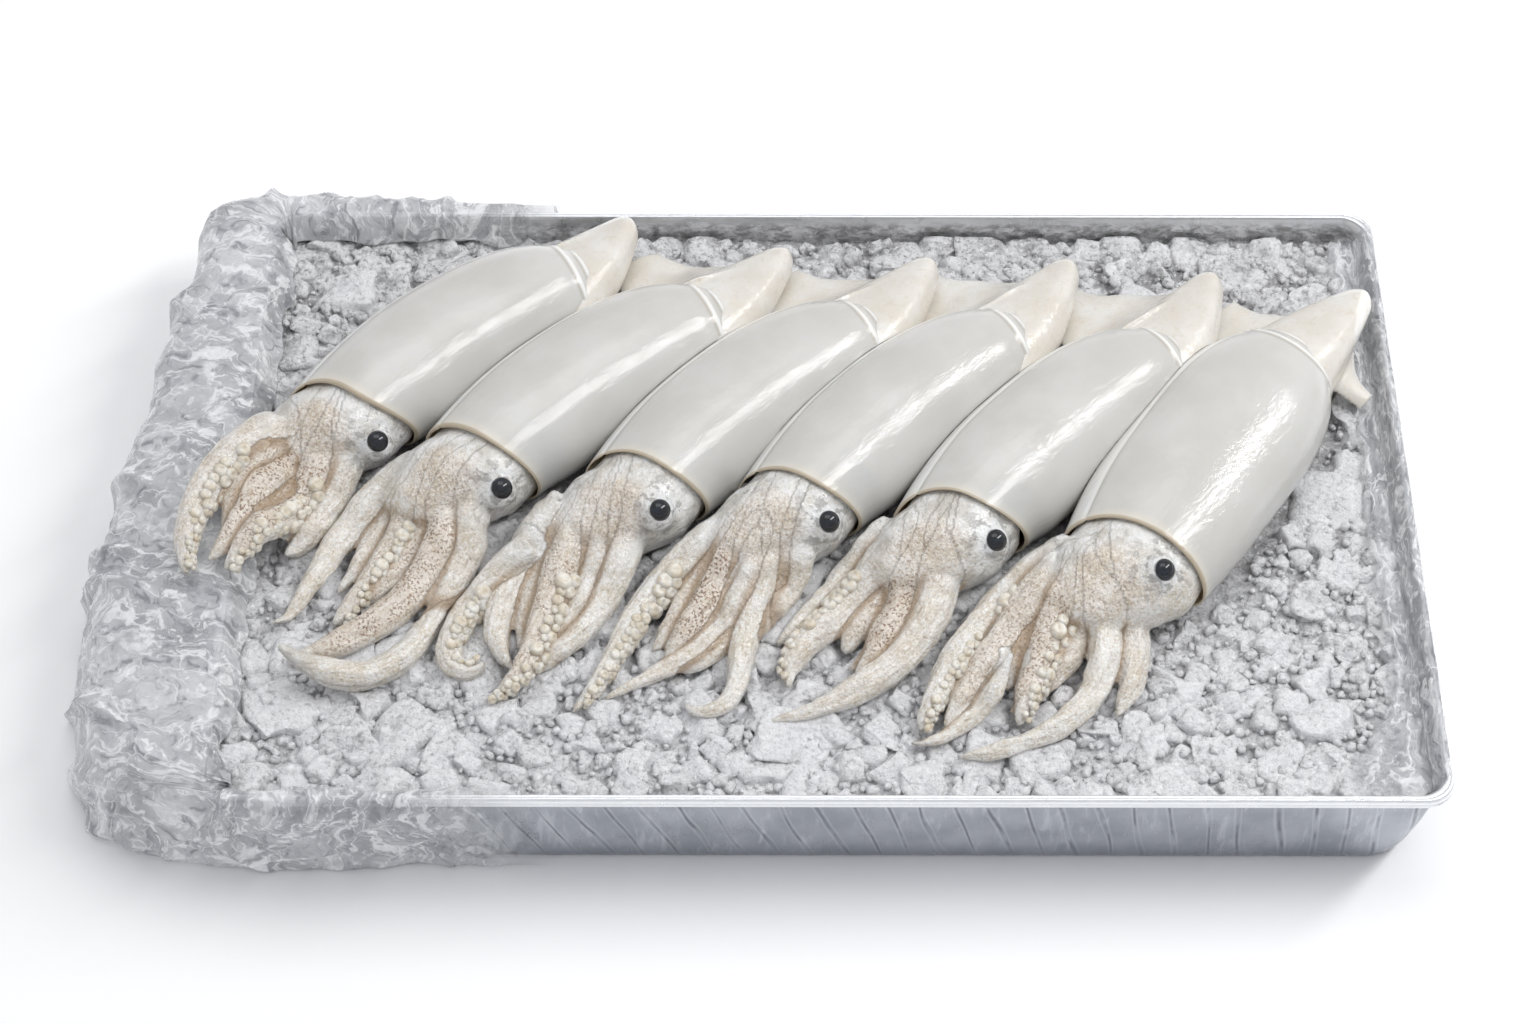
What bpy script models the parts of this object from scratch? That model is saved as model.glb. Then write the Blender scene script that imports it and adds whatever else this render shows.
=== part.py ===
# Six whole raw squid lying side by side on crushed ice in a shallow foil tray,
# with a loose clear film hanging round the tray's left end.
# The origin is the centre of the tray's base, +X runs along the tray to the
# right, +Y to the back and +Z up.

import math

import bmesh
import bpy
from mathutils import Vector, noise
from mathutils.bvhtree import BVHTree

MM = 0.001
SHARP_ANGLE = math.radians(40)

# Foil tray, outside sizes in metres.
TRAY_LENGTH = 0.500
TRAY_WIDTH = 0.318
TRAY_HEIGHT = 0.058
TRAY_DRAFT = 0.0077
TRAY_WALL = 0.0012
BEAD_WIDTH = 0.0035
BEAD_HEIGHT = 0.0042
BEAD_EDGE = 0.0009
TRAY_RIM_RADIUS = 0.012
TRAY_BASE_RADIUS = 0.018
CORNER_STEPS = 5

# Bed of crushed ice.
ICE_LEVEL = 0.0455
ICE_RELIEF = 0.0030
ICE_LUMP = 0.021
ICE_COLUMNS = 31
ICE_ROWS = 19
ICE_WALL_GAP = 0.0005
ICE_CLEARANCE = 0.0014
ICE_FLOOR_GAP = 0.0004
PROBE_STEPS = 4

# Clear film, hung over the rim round the left end.
FILM_THICKNESS = 0.0012
FILM_STATIONS = 32
FILM_CORNER_SHARE = 4.0
FILM_REACH_X = -0.110
FILM_OVERLAP = 0.0055
FILM_TOP_GAP = 0.0008
FILM_CLEAR_OF_BEAD = 0.0030
FILM_SHOULDER_IN = 0.0012
FILM_SHOULDER_DROP = 0.0065
FILM_CREST = 0.0006
FILM_FLOOR_GAP = 0.0006
# Where the film's foot stands, in millimetres, from the back edge round to the front.
FILM_FOOT = (
    (-110, 161), (-165, 168), (-222, 173), (-280, 172), (-291, 125), (-299, 70),
    (-310, 14), (-315, -40), (-313, -96), (-295, -139), (-235, -154), (-165, -153), (-110, -152),
)

# Squid body, in millimetres and degrees.
MANTLE_ABOVE = 27.0
MANTLE_BELOW = 21.0
MANTLE_MIDDLE = 62.0
MANTLE_WIDEST = 0.42
COLLAR_FRACTION = 0.86
BLUNTNESS = 3.2
PRESSED_GAP = 0.5
MANTLE_RINGS = 10
MANTLE_SIDES = 16
MANTLE_LAST_RING = 0.995
HEIGHT_POWER = 0.8
TAIL_START = 0.80
TAIL_RINGS = 6
TAIL_SIDES = 10
TAIL_ROOT_HALF = (26.0, 20.0)
TAIL_TIP_HALF = (4.0, 5.0)
TAIL_TAPER = 1.6
TAIL_MIDDLE = (60.0, 65.0)
FIN_THICKNESS = 3.0
FIN_THINNING = 0.4
FIN_RINGS = 4
FIN_EDGE = 2.0
FIN_ROOT = 0.30
FIN_TIP_CHORD = 10.0
FIN_HOLLOW = 14.0
FIN_MIDDLE = (58.0, 53.0)
HEAD_FROM = -18.0
HEAD_TO = 34.0
HEAD_RINGS = 7
HEAD_SIDES = 12
HEAD_HALF_WIDTH = 21.0
HEAD_HALF_HEIGHT = 16.5
HEAD_MIDDLE = (62.0, 58.0)
HEAD_ROUNDING = (0.14, 0.88)
HEAD_FULLNESS = 0.6
HEAD_LEAN = 15.0
ARM_SIDES = 6
ARM_RINGS = 7
ARM_HOOK_START = 0.55
ARM_ROOT_HEIGHT = 63.0
ARM_ROOT_DEPTH = 4.0
ARM_FINE_STEPS = 6
ARM_TAPER = 1.3
ARM_DROP_END = 0.45
ARM_OVER_ICE = 2.5
ARM_OVER_RIM = 4.0
RIM_CLIMB_START = -222.0
RIM_CLIMB_LENGTH = 14.0

# One row for each squid, from left to right: where the collar's centre lies,
# the mantle's mean heading (degrees from +X), how far it bends to the right on
# the way, its length, its half widths on the left and on the right, how far the
# tail turns back to the left, the tail's reach, and the span and sweep of each
# fin that lies spread.
SQUID_ROWS = (
    dict(x=-203, y=26, heading=40, curve=26, length=136, left=35, right=28, tail=13, reach=62,
         left_fin=(16, 44)),
    dict(x=-146, y=0, heading=40, curve=28, length=141, left=35, right=28, tail=9, reach=73,
         left_fin=(34, 47)),
    dict(x=-76, y=-15, heading=43, curve=26, length=144, left=35, right=27, tail=10, reach=73,
         left_fin=(34, 47)),
    dict(x=-12, y=-22, heading=44, curve=26, length=146, left=33, right=28, tail=12, reach=75,
         left_fin=(35, 47)),
    dict(x=55, y=-35, heading=45, curve=26, length=147, left=34, right=28, tail=15, reach=76,
         left_fin=(35, 47)),
    dict(x=126, y=-50, heading=56, curve=10, length=147, left=37, right=38, tail=-8, reach=76,
         left_fin=(48, 29), right_fin=(36, 42)),
)

# One row for each arm: how far ahead of the collar and how far to the left of
# the midline it leaves the head, its first direction (0 is straight ahead,
# positive to the squid's right), the turn along its whole length, the further
# turn of its last part, its length, and its width at the base and at the tip.
ARM_ROWS = (
    (
        (23, 17, -24, 70, 9, 90, 18, 8),
        (19, 13, 10, 10, -28, 78, 15, 8),
        (15, -1, 12, -13, 11, 80, 18, 9),
        (13, -5, 30, -36, 7, 57, 16, 9),
    ),
    (
        (16, 25, -19, 50, -41, 97, 14, 4),
        (15, 16, 10, -3, -10, 80, 14, 9),
        (18, 4, 35, -78, 4, 110, 14, 12),
        (121, 10, 85, 156, -56, 94, 12, 10),
        (19, -6, 40, -45, 11, 56, 15, 8),
    ),
    (
        (23, 29, -9, 7, -49, 50, 12, 5),
        (50, 27, -20, 50, 187, 80, 12, 9),
        (29, 26, -14, 60, 32, 78, 17, 8),
        (27, 17, 16, 6, -62, 90, 17, 7),
        (24, 6, 24, -22, 2, 60, 15, 8),
        (20, -3, 24, -54, 4, 86, 13, 5),
    ),
    (
        (24, 20, -28, 62, -50, 108, 14, 5),
        (24, 14, 10, -13, -4, 64, 18, 9),
        (29, 4, 22, -76, 31, 94, 11, 4),
        (20, -1, 6, 38, -173, 96, 13, 5),
        (18, -10, 14, -16, -6, 32, 13, 9),
    ),
    (
        (13, 27, -17, 13, -9, 70, 12, 5),
        (19, 21, -3, -20, 72, 80, 15, 9),
        (12, 12, 20, -27, 0, 68, 20, 9),
        (12, 3, 30, -87, 10, 114, 16, 5),
        (10, -2, 8, -22, 46, 58, 13, 7),
    ),
    (
        (8, 26, -32, 48, -7, 106, 16, 9),
        (17, 26, -12, 13, -4, 86, 18, 7),
        (15, 20, 6, 4, 3, 74, 20, 9),
        (17, 15, 60, -139, 24, 118, 13, 5),
        (12, 4, 56, -56, -9, 62, 14, 7),
        (66, 24, 4, -45, -39, 58, 8, 4),
    ),
)


def clear_scene():
    for old in list(bpy.data.objects):
        bpy.data.objects.remove(old, do_unlink=True)


def make_material(name, colour, roughness, metallic=0.0, alpha=1.0):
    material = bpy.data.materials.new(name)
    material.use_nodes = True
    shader = material.node_tree.nodes["Principled BSDF"]
    shader.inputs["Base Color"].default_value = (*colour, 1.0)
    shader.inputs["Roughness"].default_value = roughness
    shader.inputs["Metallic"].default_value = metallic
    shader.inputs["Alpha"].default_value = alpha
    return material


def object_from_bmesh(name, mesh_builder, material):
    """Turns a closed bmesh into an object with its faces pointing out."""
    bmesh.ops.recalc_face_normals(mesh_builder, faces=mesh_builder.faces)
    mesh = bpy.data.meshes.new(name)
    mesh_builder.to_mesh(mesh)
    mesh_builder.free()
    mesh.shade_smooth()
    mesh.set_sharp_from_angle(angle=SHARP_ANGLE)
    mesh.materials.append(material)
    thing = bpy.data.objects.new(name, mesh)
    bpy.context.collection.objects.link(thing)
    return thing


def loft(name, rings, material):
    """Bridges rings of equal point count and closes both ends."""
    builder = bmesh.new()
    rows = [[builder.verts.new(point) for point in ring] for ring in rings]
    count = len(rows[0])
    for lower, upper in zip(rows, rows[1:]):
        for i in range(count):
            j = (i + 1) % count
            builder.faces.new((lower[i], lower[j], upper[j], upper[i]))
    builder.faces.new(rows[0])
    builder.faces.new(rows[-1])
    return object_from_bmesh(name, builder, material)


def mark_cutter(thing):
    thing.display_type = "WIRE"
    thing.hide_render = True


def unite(body, pieces):
    for piece in pieces:
        union = body.modifiers.new("Join " + piece.name, "BOOLEAN")
        union.operation = "UNION"
        union.solver = "EXACT"
        union.object = piece
        mark_cutter(piece)


# ---------------------------------------------------------------- foil tray

def rounded_loop(half_x, half_y, radius, z):
    """Points of a rounded rectangle, anticlockwise from the right side."""
    points = []
    for corner in range(4):
        sign_x = 1 if corner in (0, 3) else -1
        sign_y = 1 if corner in (0, 1) else -1
        centre = Vector((sign_x * (half_x - radius), sign_y * (half_y - radius), z))
        for step in range(CORNER_STEPS + 1):
            angle = math.radians(90) * (corner + step / CORNER_STEPS)
            points.append(centre + radius * Vector((math.cos(angle), math.sin(angle), 0)))
    return points


def tray_section(inset, z):
    """Rounded outline of the tray's outside at a height, moved in by inset."""
    draft = TRAY_DRAFT * (1 - z / TRAY_HEIGHT)
    radius = TRAY_BASE_RADIUS + (TRAY_RIM_RADIUS - TRAY_BASE_RADIUS) * z / TRAY_HEIGHT
    half_x = TRAY_LENGTH / 2 - BEAD_WIDTH + TRAY_WALL - draft - inset
    half_y = TRAY_WIDTH / 2 - BEAD_WIDTH + TRAY_WALL - draft - inset
    return rounded_loop(half_x, half_y, radius - inset, z)


def make_tray(material):
    under_bead = TRAY_HEIGHT - BEAD_HEIGHT
    bead_x = TRAY_LENGTH / 2
    bead_y = TRAY_WIDTH / 2
    rings = [
        tray_section(0, 0),
        tray_section(0, under_bead),
        rounded_loop(bead_x - BEAD_EDGE, bead_y - BEAD_EDGE, TRAY_RIM_RADIUS, under_bead),
        rounded_loop(bead_x, bead_y, TRAY_RIM_RADIUS, under_bead + BEAD_EDGE),
        rounded_loop(bead_x, bead_y, TRAY_RIM_RADIUS, TRAY_HEIGHT - BEAD_EDGE),
        rounded_loop(bead_x - BEAD_EDGE, bead_y - BEAD_EDGE, TRAY_RIM_RADIUS, TRAY_HEIGHT),
        tray_section(TRAY_WALL, TRAY_HEIGHT),
        tray_section(TRAY_WALL, TRAY_WALL),
    ]
    return loft("tray", rings, material)


# -------------------------------------------------------------------- squid

class SquidFrame:
    """Places a squid's own forward and sideways distances in the tray."""

    def __init__(self, row):
        self.row = row
        self.origin = Vector((row["x"], row["y"]))

    def heading(self, share):
        return math.radians(self.row["heading"] + self.row["curve"] * (0.5 - share))

    def spine(self, distance):
        """Point on the curved midline, this far behind the collar."""
        point = self.origin.copy()
        steps = 12
        length = self.row["length"]
        for i in range(steps):
            angle = self.heading((i + 0.5) / steps * distance / length)
            point += Vector((math.cos(angle), math.sin(angle))) * distance / steps
        return point

    def axes(self, share):
        angle = self.heading(share)
        along = Vector((math.cos(angle), math.sin(angle)))
        left = Vector((-along.y, along.x))
        return along, left

    def before_collar(self, ahead, left):
        along, aside = self.axes(0)
        return self.origin - along * ahead + aside * left


def oval_ring(centre, side, widths, heights, middle, sides):
    """An upright oval across a body: widths and heights are (left, right) and
    (above, below) half sizes about the middle height."""
    ring = []
    for i in range(sides):
        angle = 2 * math.pi * (i + 0.5) / sides
        across = math.cos(angle)
        up = math.sin(angle)
        wide = widths[0] if across > 0 else widths[1]
        high = heights[0] if up > 0 else heights[1]
        flat = centre + side * across * wide
        ring.append(Vector((flat.x, flat.y, middle + up * high)) * MM)
    return ring


def mantle_fullness(share):
    if share < MANTLE_WIDEST:
        rise = math.sin(math.pi / 2 * share / MANTLE_WIDEST)
        return COLLAR_FRACTION + (1 - COLLAR_FRACTION) * rise
    past = (share - MANTLE_WIDEST) / (1 - MANTLE_WIDEST)
    return math.sqrt(max(0.0, 1 - past ** BLUNTNESS))


def make_mantle(name, frame, material, grown=0.0):
    """The mantle's solid; grown makes a slightly fatter one that presses a
    hollow into the squid beside it."""
    row = frame.row
    rings = []
    for i in range(MANTLE_RINGS):
        share = MANTLE_LAST_RING * math.sin(math.pi / 2 * i / (MANTLE_RINGS - 1))
        full = mantle_fullness(share)
        left = frame.axes(share)[1]
        widths = (row["left"] * full + grown, row["right"] * full + grown)
        flat = full ** HEIGHT_POWER
        heights = (MANTLE_ABOVE * flat + grown, MANTLE_BELOW * flat + grown)
        centre = frame.spine(share * row["length"])
        rings.append(oval_ring(centre, left, widths, heights, MANTLE_MIDDLE, MANTLE_SIDES))
    return loft(name, rings, material)


def tail_path(frame, share):
    """Midline of the tail: leaves the mantle, turns to the tray's back edge."""
    start = frame.spine(frame.row["length"] * TAIL_START)
    angle = frame.heading(0.6) + math.radians(frame.row["tail"]) * (0.5 + 0.5 * share)
    along = Vector((math.cos(angle), math.sin(angle)))
    return start + along * frame.row["reach"] * share, Vector((-along.y, along.x))


def between(pair, share):
    return pair[0] + (pair[1] - pair[0]) * share


def make_tail(name, frame, material):
    rings = []
    for i in range(TAIL_RINGS):
        share = i / (TAIL_RINGS - 1)
        centre, left = tail_path(frame, share)
        half = between((TAIL_ROOT_HALF[0], TAIL_TIP_HALF[0]), share ** TAIL_TAPER)
        tall = between((TAIL_ROOT_HALF[1], TAIL_TIP_HALF[1]), share)
        middle = between(TAIL_MIDDLE, share)
        rings.append(oval_ring(centre, left, (half, half), (tall, tall), middle, TAIL_SIDES))
    return loft(name, rings, material)


def make_fin(name, frame, side, spread, material):
    """A thin swept fin; side is 1 for the left one and -1 for the right one."""
    span, sweep = spread
    root_front = tail_path(frame, FIN_ROOT)[0]
    root_back = tail_path(frame, 0.95 + 0.02 * side)[0]
    along, left = frame.axes(1)
    corner = root_back - along * sweep + left * side * span
    rings = []
    for i in range(FIN_RINGS):
        share = i / (FIN_RINGS - 1)
        back = root_back.lerp(corner, share) - along * FIN_HOLLOW * share * (1 - share)
        front = root_front.lerp(corner - along * FIN_TIP_CHORD, share)
        half = FIN_THICKNESS / 2 * (1 - FIN_THINNING * share)
        z = between(FIN_MIDDLE, share)
        edge = (back - front).normalized() * FIN_EDGE
        points = [
            (front, 0), (front + edge, half), (back - edge, half),
            (back, 0), (back - edge, -half), (front + edge, -half),
        ]
        rings.append([Vector((p.x, p.y, z + rise)) * MM for p, rise in points])
    return loft(name, rings, material)


def make_head(name, frame, material):
    rings = []
    left = frame.axes(0)[1]
    for i in range(HEAD_RINGS):
        share = i / (HEAD_RINGS - 1)
        full = math.sin(math.pi * between(HEAD_ROUNDING, share)) ** HEAD_FULLNESS
        centre = frame.before_collar(between((HEAD_FROM, HEAD_TO), share), HEAD_LEAN * share)
        half = HEAD_HALF_WIDTH * full
        tall = HEAD_HALF_HEIGHT * full
        middle = between(HEAD_MIDDLE, share)
        rings.append(oval_ring(centre, left, (half, half), (tall, tall), middle, HEAD_SIDES))
    return loft(name, rings, material)


def arm_path(frame, row):
    """Centre points of an arm in the tray plan, one for each ring."""
    ahead, left, aim, bend, hook, length = row[:6]
    point = frame.before_collar(ahead - ARM_ROOT_DEPTH, left)
    back_angle = frame.heading(0) + math.pi
    points = [point.copy()]
    steps = (ARM_RINGS - 1) * ARM_FINE_STEPS
    for i in range(steps):
        share = (i + 0.5) / steps
        late = max(0.0, (share - ARM_HOOK_START) / (1 - ARM_HOOK_START))
        angle = back_angle + math.radians(aim + bend * share + hook * late ** 2)
        point += Vector((math.cos(angle), math.sin(angle))) * length / steps
        if (i + 1) % ARM_FINE_STEPS == 0:
            points.append(point.copy())
    return points


def resting_height(x):
    """What an arm lies on: the ice, or the film over the rim at the left."""
    climb = min(1.0, max(0.0, (RIM_CLIMB_START - x) / RIM_CLIMB_LENGTH))
    on_ice = ICE_LEVEL / MM + ARM_OVER_ICE
    on_film = TRAY_HEIGHT / MM + ARM_OVER_RIM
    return between((on_ice, on_film), climb)


def make_arm(name, frame, row, material):
    thick, thin = row[6:8]
    points = arm_path(frame, row)
    last = len(points) - 1
    rings = []
    for i, centre in enumerate(points):
        share = i / last
        half = between((thick, thin), share ** ARM_TAPER) / 2
        ahead = points[min(i + 1, last)] - points[max(i - 1, 0)]
        left = Vector((-ahead.y, ahead.x)).normalized()
        drop = min(1.0, share / ARM_DROP_END)
        rest = resting_height(centre.x) + half
        middle = max(rest, between((ARM_ROOT_HEIGHT, rest), drop * drop * (3 - 2 * drop)))
        rings.append(oval_ring(centre, left, (half, half), (half, half), middle, ARM_SIDES))
    return loft(name, rings, material)


def make_squid(index, row, arm_rows, flesh):
    name = "squid_%d" % (index + 1)
    frame = SquidFrame(row)
    body = make_mantle(name, frame, flesh)
    pieces = [make_tail(name + "_tail", frame, flesh), make_head(name + "_head", frame, flesh)]
    for side, key in ((1, "left_fin"), (-1, "right_fin")):
        if key in row:
            pieces.append(make_fin("%s_%s" % (name, key), frame, side, row[key], flesh))
    for number, arm_row in enumerate(arm_rows):
        pieces.append(make_arm("%s_arm_%d" % (name, number + 1), frame, arm_row, flesh))
    unite(body, pieces)
    return body


def press_together(squid, flesh):
    """Each mantle lies against the flank of the one on its left, and flattens
    it: the softer flank is cut back to a thin gap."""
    for body, neighbour in zip(squid, SQUID_ROWS[1:]):
        presser = make_mantle(body.name + "_neighbour", SquidFrame(neighbour), flesh, PRESSED_GAP)
        hollow = body.modifiers.new("Pressed flank", "BOOLEAN")
        hollow.operation = "DIFFERENCE"
        hollow.solver = "EXACT"
        hollow.object = presser
        mark_cutter(presser)


# ---------------------------------------------------------------------- ice

def evaluated_tree(things):
    """One search tree over the finished shapes of several objects."""
    graph = bpy.context.evaluated_depsgraph_get()
    points = []
    faces = []
    for thing in things:
        mesh = thing.evaluated_get(graph).to_mesh()
        base = len(points)
        points.extend(thing.matrix_world @ vertex.co for vertex in mesh.vertices)
        faces.extend([base + i for i in face.vertices] for face in mesh.polygons)
        thing.evaluated_get(graph).to_mesh_clear()
    return BVHTree.FromPolygons(points, faces)


def ice_surface(x, y):
    """Open height of the ice: round lumps side by side with dips between."""
    distances = noise.voronoi(Vector((x, y, 0)) / ICE_LUMP)[0]
    lump = 1 - min(1.0, distances[0]) ** 2
    return ICE_LEVEL + ICE_RELIEF * (lump - 0.5)


def lowest_above(tree, x, y, reach):
    """Lowest solid over a square of the ice, or None where it lies open."""
    lowest = None
    for i in range(-PROBE_STEPS, PROBE_STEPS + 1):
        for j in range(-PROBE_STEPS, PROBE_STEPS + 1):
            start = Vector((x + reach * i / PROBE_STEPS, y + reach * j / PROBE_STEPS, 0))
            hit = tree.ray_cast(start, Vector((0, 0, 1)))[0]
            if hit and (lowest is None or hit.z < lowest):
                lowest = hit.z
    return lowest


def make_ice(material, squid):
    tree = evaluated_tree(squid)
    floor = TRAY_WALL + ICE_FLOOR_GAP
    half_x = TRAY_LENGTH / 2
    half_y = TRAY_WIDTH / 2
    builder = bmesh.new()
    top = []
    bottom = []
    for row in range(ICE_ROWS + 1):
        y = -half_y + TRAY_WIDTH * row / ICE_ROWS
        top_row = []
        bottom_row = []
        for column in range(ICE_COLUMNS + 1):
            x = -half_x + TRAY_LENGTH * column / ICE_COLUMNS
            z = ice_surface(x, y)
            above = lowest_above(tree, x, y, TRAY_LENGTH / ICE_COLUMNS)
            if above is not None:
                z = min(z, above - ICE_CLEARANCE)
            top_row.append(builder.verts.new((x, y, z)))
            bottom_row.append(builder.verts.new((x, y, -TRAY_WALL)))
        top.append(top_row)
        bottom.append(bottom_row)
    for row in range(ICE_ROWS):
        for column in range(ICE_COLUMNS):
            corner = (top[row][column], top[row][column + 1],
                      top[row + 1][column + 1], top[row + 1][column])
            builder.faces.new(corner)
    rim_top = ring_of(top)
    rim_bottom = ring_of(bottom)
    inside = [v for line in bottom[1:-1] for v in line[1:-1]]
    bmesh.ops.delete(builder, geom=inside, context="VERTS")
    for i in range(len(rim_top)):
        j = (i + 1) % len(rim_top)
        builder.faces.new((rim_top[i], rim_bottom[i], rim_bottom[j], rim_top[j]))
    builder.faces.new(rim_bottom)
    ice = object_from_bmesh("ice", builder, material)
    inset = TRAY_WALL + ICE_WALL_GAP
    outline = [tray_section(inset, floor), tray_section(inset, TRAY_HEIGHT)]
    cavity = loft("ice_outline", outline, material)
    trim = ice.modifiers.new("Trim to tray", "BOOLEAN")
    trim.operation = "INTERSECT"
    trim.solver = "EXACT"
    trim.object = cavity
    mark_cutter(cavity)
    return ice


def ring_of(grid):
    """The outer loop of a grid of vertices, in order."""
    front = grid[0]
    right = [line[-1] for line in grid[1:]]
    back = grid[-1][-2::-1]
    left = [line[0] for line in grid[-2:0:-1]]
    return front + right + back + left


# --------------------------------------------------------------------- film

def film_route(share):
    """A point on the tray's rim and the way out from it, as share runs from
    the back edge round the left end to the front edge."""
    half_x = TRAY_LENGTH / 2
    half_y = TRAY_WIDTH / 2
    radius = TRAY_RIM_RADIUS
    back = FILM_REACH_X + half_x - radius
    arc = math.pi / 2 * radius * FILM_CORNER_SHARE
    side = TRAY_WIDTH - 2 * radius
    travel = share * (2 * back + 2 * arc + side)
    if travel < back:
        return Vector((FILM_REACH_X - travel, half_y)), Vector((0, 1))
    travel -= back
    if travel < arc:
        angle = math.pi / 2 * (1 + travel / arc)
        out = Vector((math.cos(angle), math.sin(angle)))
        return Vector((-half_x + radius, half_y - radius)) + out * radius, out
    travel -= arc
    if travel < side:
        return Vector((-half_x, half_y - radius - travel)), Vector((-1, 0))
    travel -= side
    if travel < arc:
        angle = math.pi / 2 * (2 + travel / arc)
        out = Vector((math.cos(angle), math.sin(angle)))
        return Vector((-half_x + radius, -half_y + radius)) + out * radius, out
    travel -= arc
    return Vector((-half_x + radius + travel, -half_y)), Vector((0, -1))


def film_foot(share):
    """A point of the film's foot, on one smooth curve through its outline."""
    spot = share * (len(FILM_FOOT) - 1)
    first = min(int(spot), len(FILM_FOOT) - 2)
    t = spot - first
    last = len(FILM_FOOT) - 1
    a, b, c, d = (Vector(FILM_FOOT[min(max(first + k, 0), last)]) * MM for k in (-1, 0, 1, 2))
    return 0.5 * (2 * b + (c - a) * t + (2 * a - 5 * b + 4 * c - d) * t ** 2
                  + (3 * b - a - 3 * c + d) * t ** 3)


def film_profile(rim, out, foot):
    """Outer line of the film at a station, from its inner edge over the rim
    down to the table, as a list of plan points and heights."""
    top = TRAY_HEIGHT + FILM_TOP_GAP + FILM_THICKNESS
    bead = rim + out * FILM_CLEAR_OF_BEAD
    spread = foot - bead
    slack = spread if spread.dot(out) > 0 else Vector((0, 0))
    return [
        (rim - out * FILM_OVERLAP, top),
        (bead - out * FILM_SHOULDER_IN + slack * 0.35, top + FILM_CREST),
        (bead + slack * 0.75, top - FILM_SHOULDER_DROP),
        (bead.lerp(foot, 0.50) + slack * 0.40, TRAY_HEIGHT * 0.55),
        (bead.lerp(foot, 0.88) + slack * 0.10, TRAY_HEIGHT * 0.20),
        (foot, FILM_FLOOR_GAP),
    ]


def make_film(material):
    rings = []
    for i in range(FILM_STATIONS):
        share = i / (FILM_STATIONS - 1)
        rim, out = film_route(share)
        outer = film_profile(rim, out, film_foot(share))
        inner = []
        for k, (spot, z) in enumerate(outer):
            before = outer[max(k - 1, 0)]
            after = outer[min(k + 1, len(outer) - 1)]
            run = Vector(((after[0] - before[0]).dot(out), after[1] - before[1])).normalized()
            lower = max(z - run.x * FILM_THICKNESS, FILM_FLOOR_GAP)
            inner.append((spot + out * run.y * FILM_THICKNESS, lower))
        section = outer + inner[::-1]
        rings.append([Vector((spot.x, spot.y, z)) for spot, z in section])
    return loft("film", rings, material)


def main():
    clear_scene()
    foil = make_material("foil", (0.72, 0.74, 0.77), 0.28, metallic=1.0)
    frost = make_material("crushed_ice", (0.80, 0.83, 0.86), 0.35)
    flesh = make_material("squid_flesh", (0.86, 0.82, 0.76), 0.25)
    wrap = make_material("clear_film", (0.92, 0.94, 0.97), 0.08, alpha=0.35)
    make_tray(foil)
    squid = [
        make_squid(i, row, arm_rows, flesh)
        for i, (row, arm_rows) in enumerate(zip(SQUID_ROWS, ARM_ROWS))
    ]
    press_together(squid, flesh)
    make_ice(frost, squid)
    make_film(wrap)


main()
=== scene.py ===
# Six whole raw squid on crushed ice in a foil tray, with clear film round its left end.
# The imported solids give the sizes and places; this script makes what is seen of them.
import math

import bmesh
import bpy
import numpy as np
from mathutils import Euler, Matrix, Vector, kdtree, noise
from mathutils.bvhtree import BVHTree


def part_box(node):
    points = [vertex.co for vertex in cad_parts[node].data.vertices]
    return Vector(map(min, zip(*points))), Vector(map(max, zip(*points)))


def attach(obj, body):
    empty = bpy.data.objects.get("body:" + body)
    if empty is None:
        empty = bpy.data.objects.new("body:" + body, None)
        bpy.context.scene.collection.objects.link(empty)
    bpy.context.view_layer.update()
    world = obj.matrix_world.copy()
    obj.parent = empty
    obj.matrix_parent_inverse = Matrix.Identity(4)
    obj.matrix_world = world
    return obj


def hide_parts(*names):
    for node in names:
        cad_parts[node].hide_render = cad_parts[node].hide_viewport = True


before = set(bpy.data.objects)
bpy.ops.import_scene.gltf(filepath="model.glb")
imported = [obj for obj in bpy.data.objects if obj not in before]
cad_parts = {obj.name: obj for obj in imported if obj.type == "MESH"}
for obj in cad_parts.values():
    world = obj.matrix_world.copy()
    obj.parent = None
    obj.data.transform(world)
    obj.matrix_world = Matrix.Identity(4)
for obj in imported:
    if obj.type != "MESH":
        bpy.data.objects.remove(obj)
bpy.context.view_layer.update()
mm = 0.001
trayLow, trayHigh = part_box("tray")
iceLow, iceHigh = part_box("ice")
filmLow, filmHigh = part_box("film")
filmReach = filmHigh.x
rimTop = trayHigh.z
scene = bpy.context.scene

# ------------------------------------------------ small helpers


def between(pair, share):
    return pair[0] + (pair[1] - pair[0]) * share


def ease(low, high, value):
    share = min(1.0, max(0.0, (value - low) / (high - low)))
    return share * share * (3 - 2 * share)


def easeAll(low, high, values):
    share = np.clip((values - low) / (high - low), 0, 1)
    return share * share * (3 - 2 * share)


def ripple(point, size, seed=0.0):
    # smooth noise from -1 to 1 whose lumps are about size metres wide
    return noise.noise(Vector(point) / size + Vector((seed, seed * 1.7, seed * 0.6)))


def makeMesh(name, points, faces):
    mesh = bpy.data.meshes.new(name)
    mesh.from_pydata([tuple(p) for p in points], [], faces)
    mesh.update()
    return mesh


def makePiece(name, mesh, material, node):
    piece = bpy.data.objects.new(name, mesh)
    scene.collection.objects.link(piece)
    mesh.materials.clear()
    mesh.materials.append(material)
    mesh.shade_smooth()
    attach(piece, "root")
    if node:
        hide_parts(node)
    return piece


def loftFaces(rings, sides, closed=True):
    # quads between rings of equal point count, which lie one after another
    across = sides if closed else sides - 1
    faces = []
    for ring in range(rings - 1):
        for side in range(across):
            a = ring * sides + side
            b = ring * sides + (side + 1) % sides
            faces.append((a, b, b + sides, a + sides))
    return faces


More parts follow.
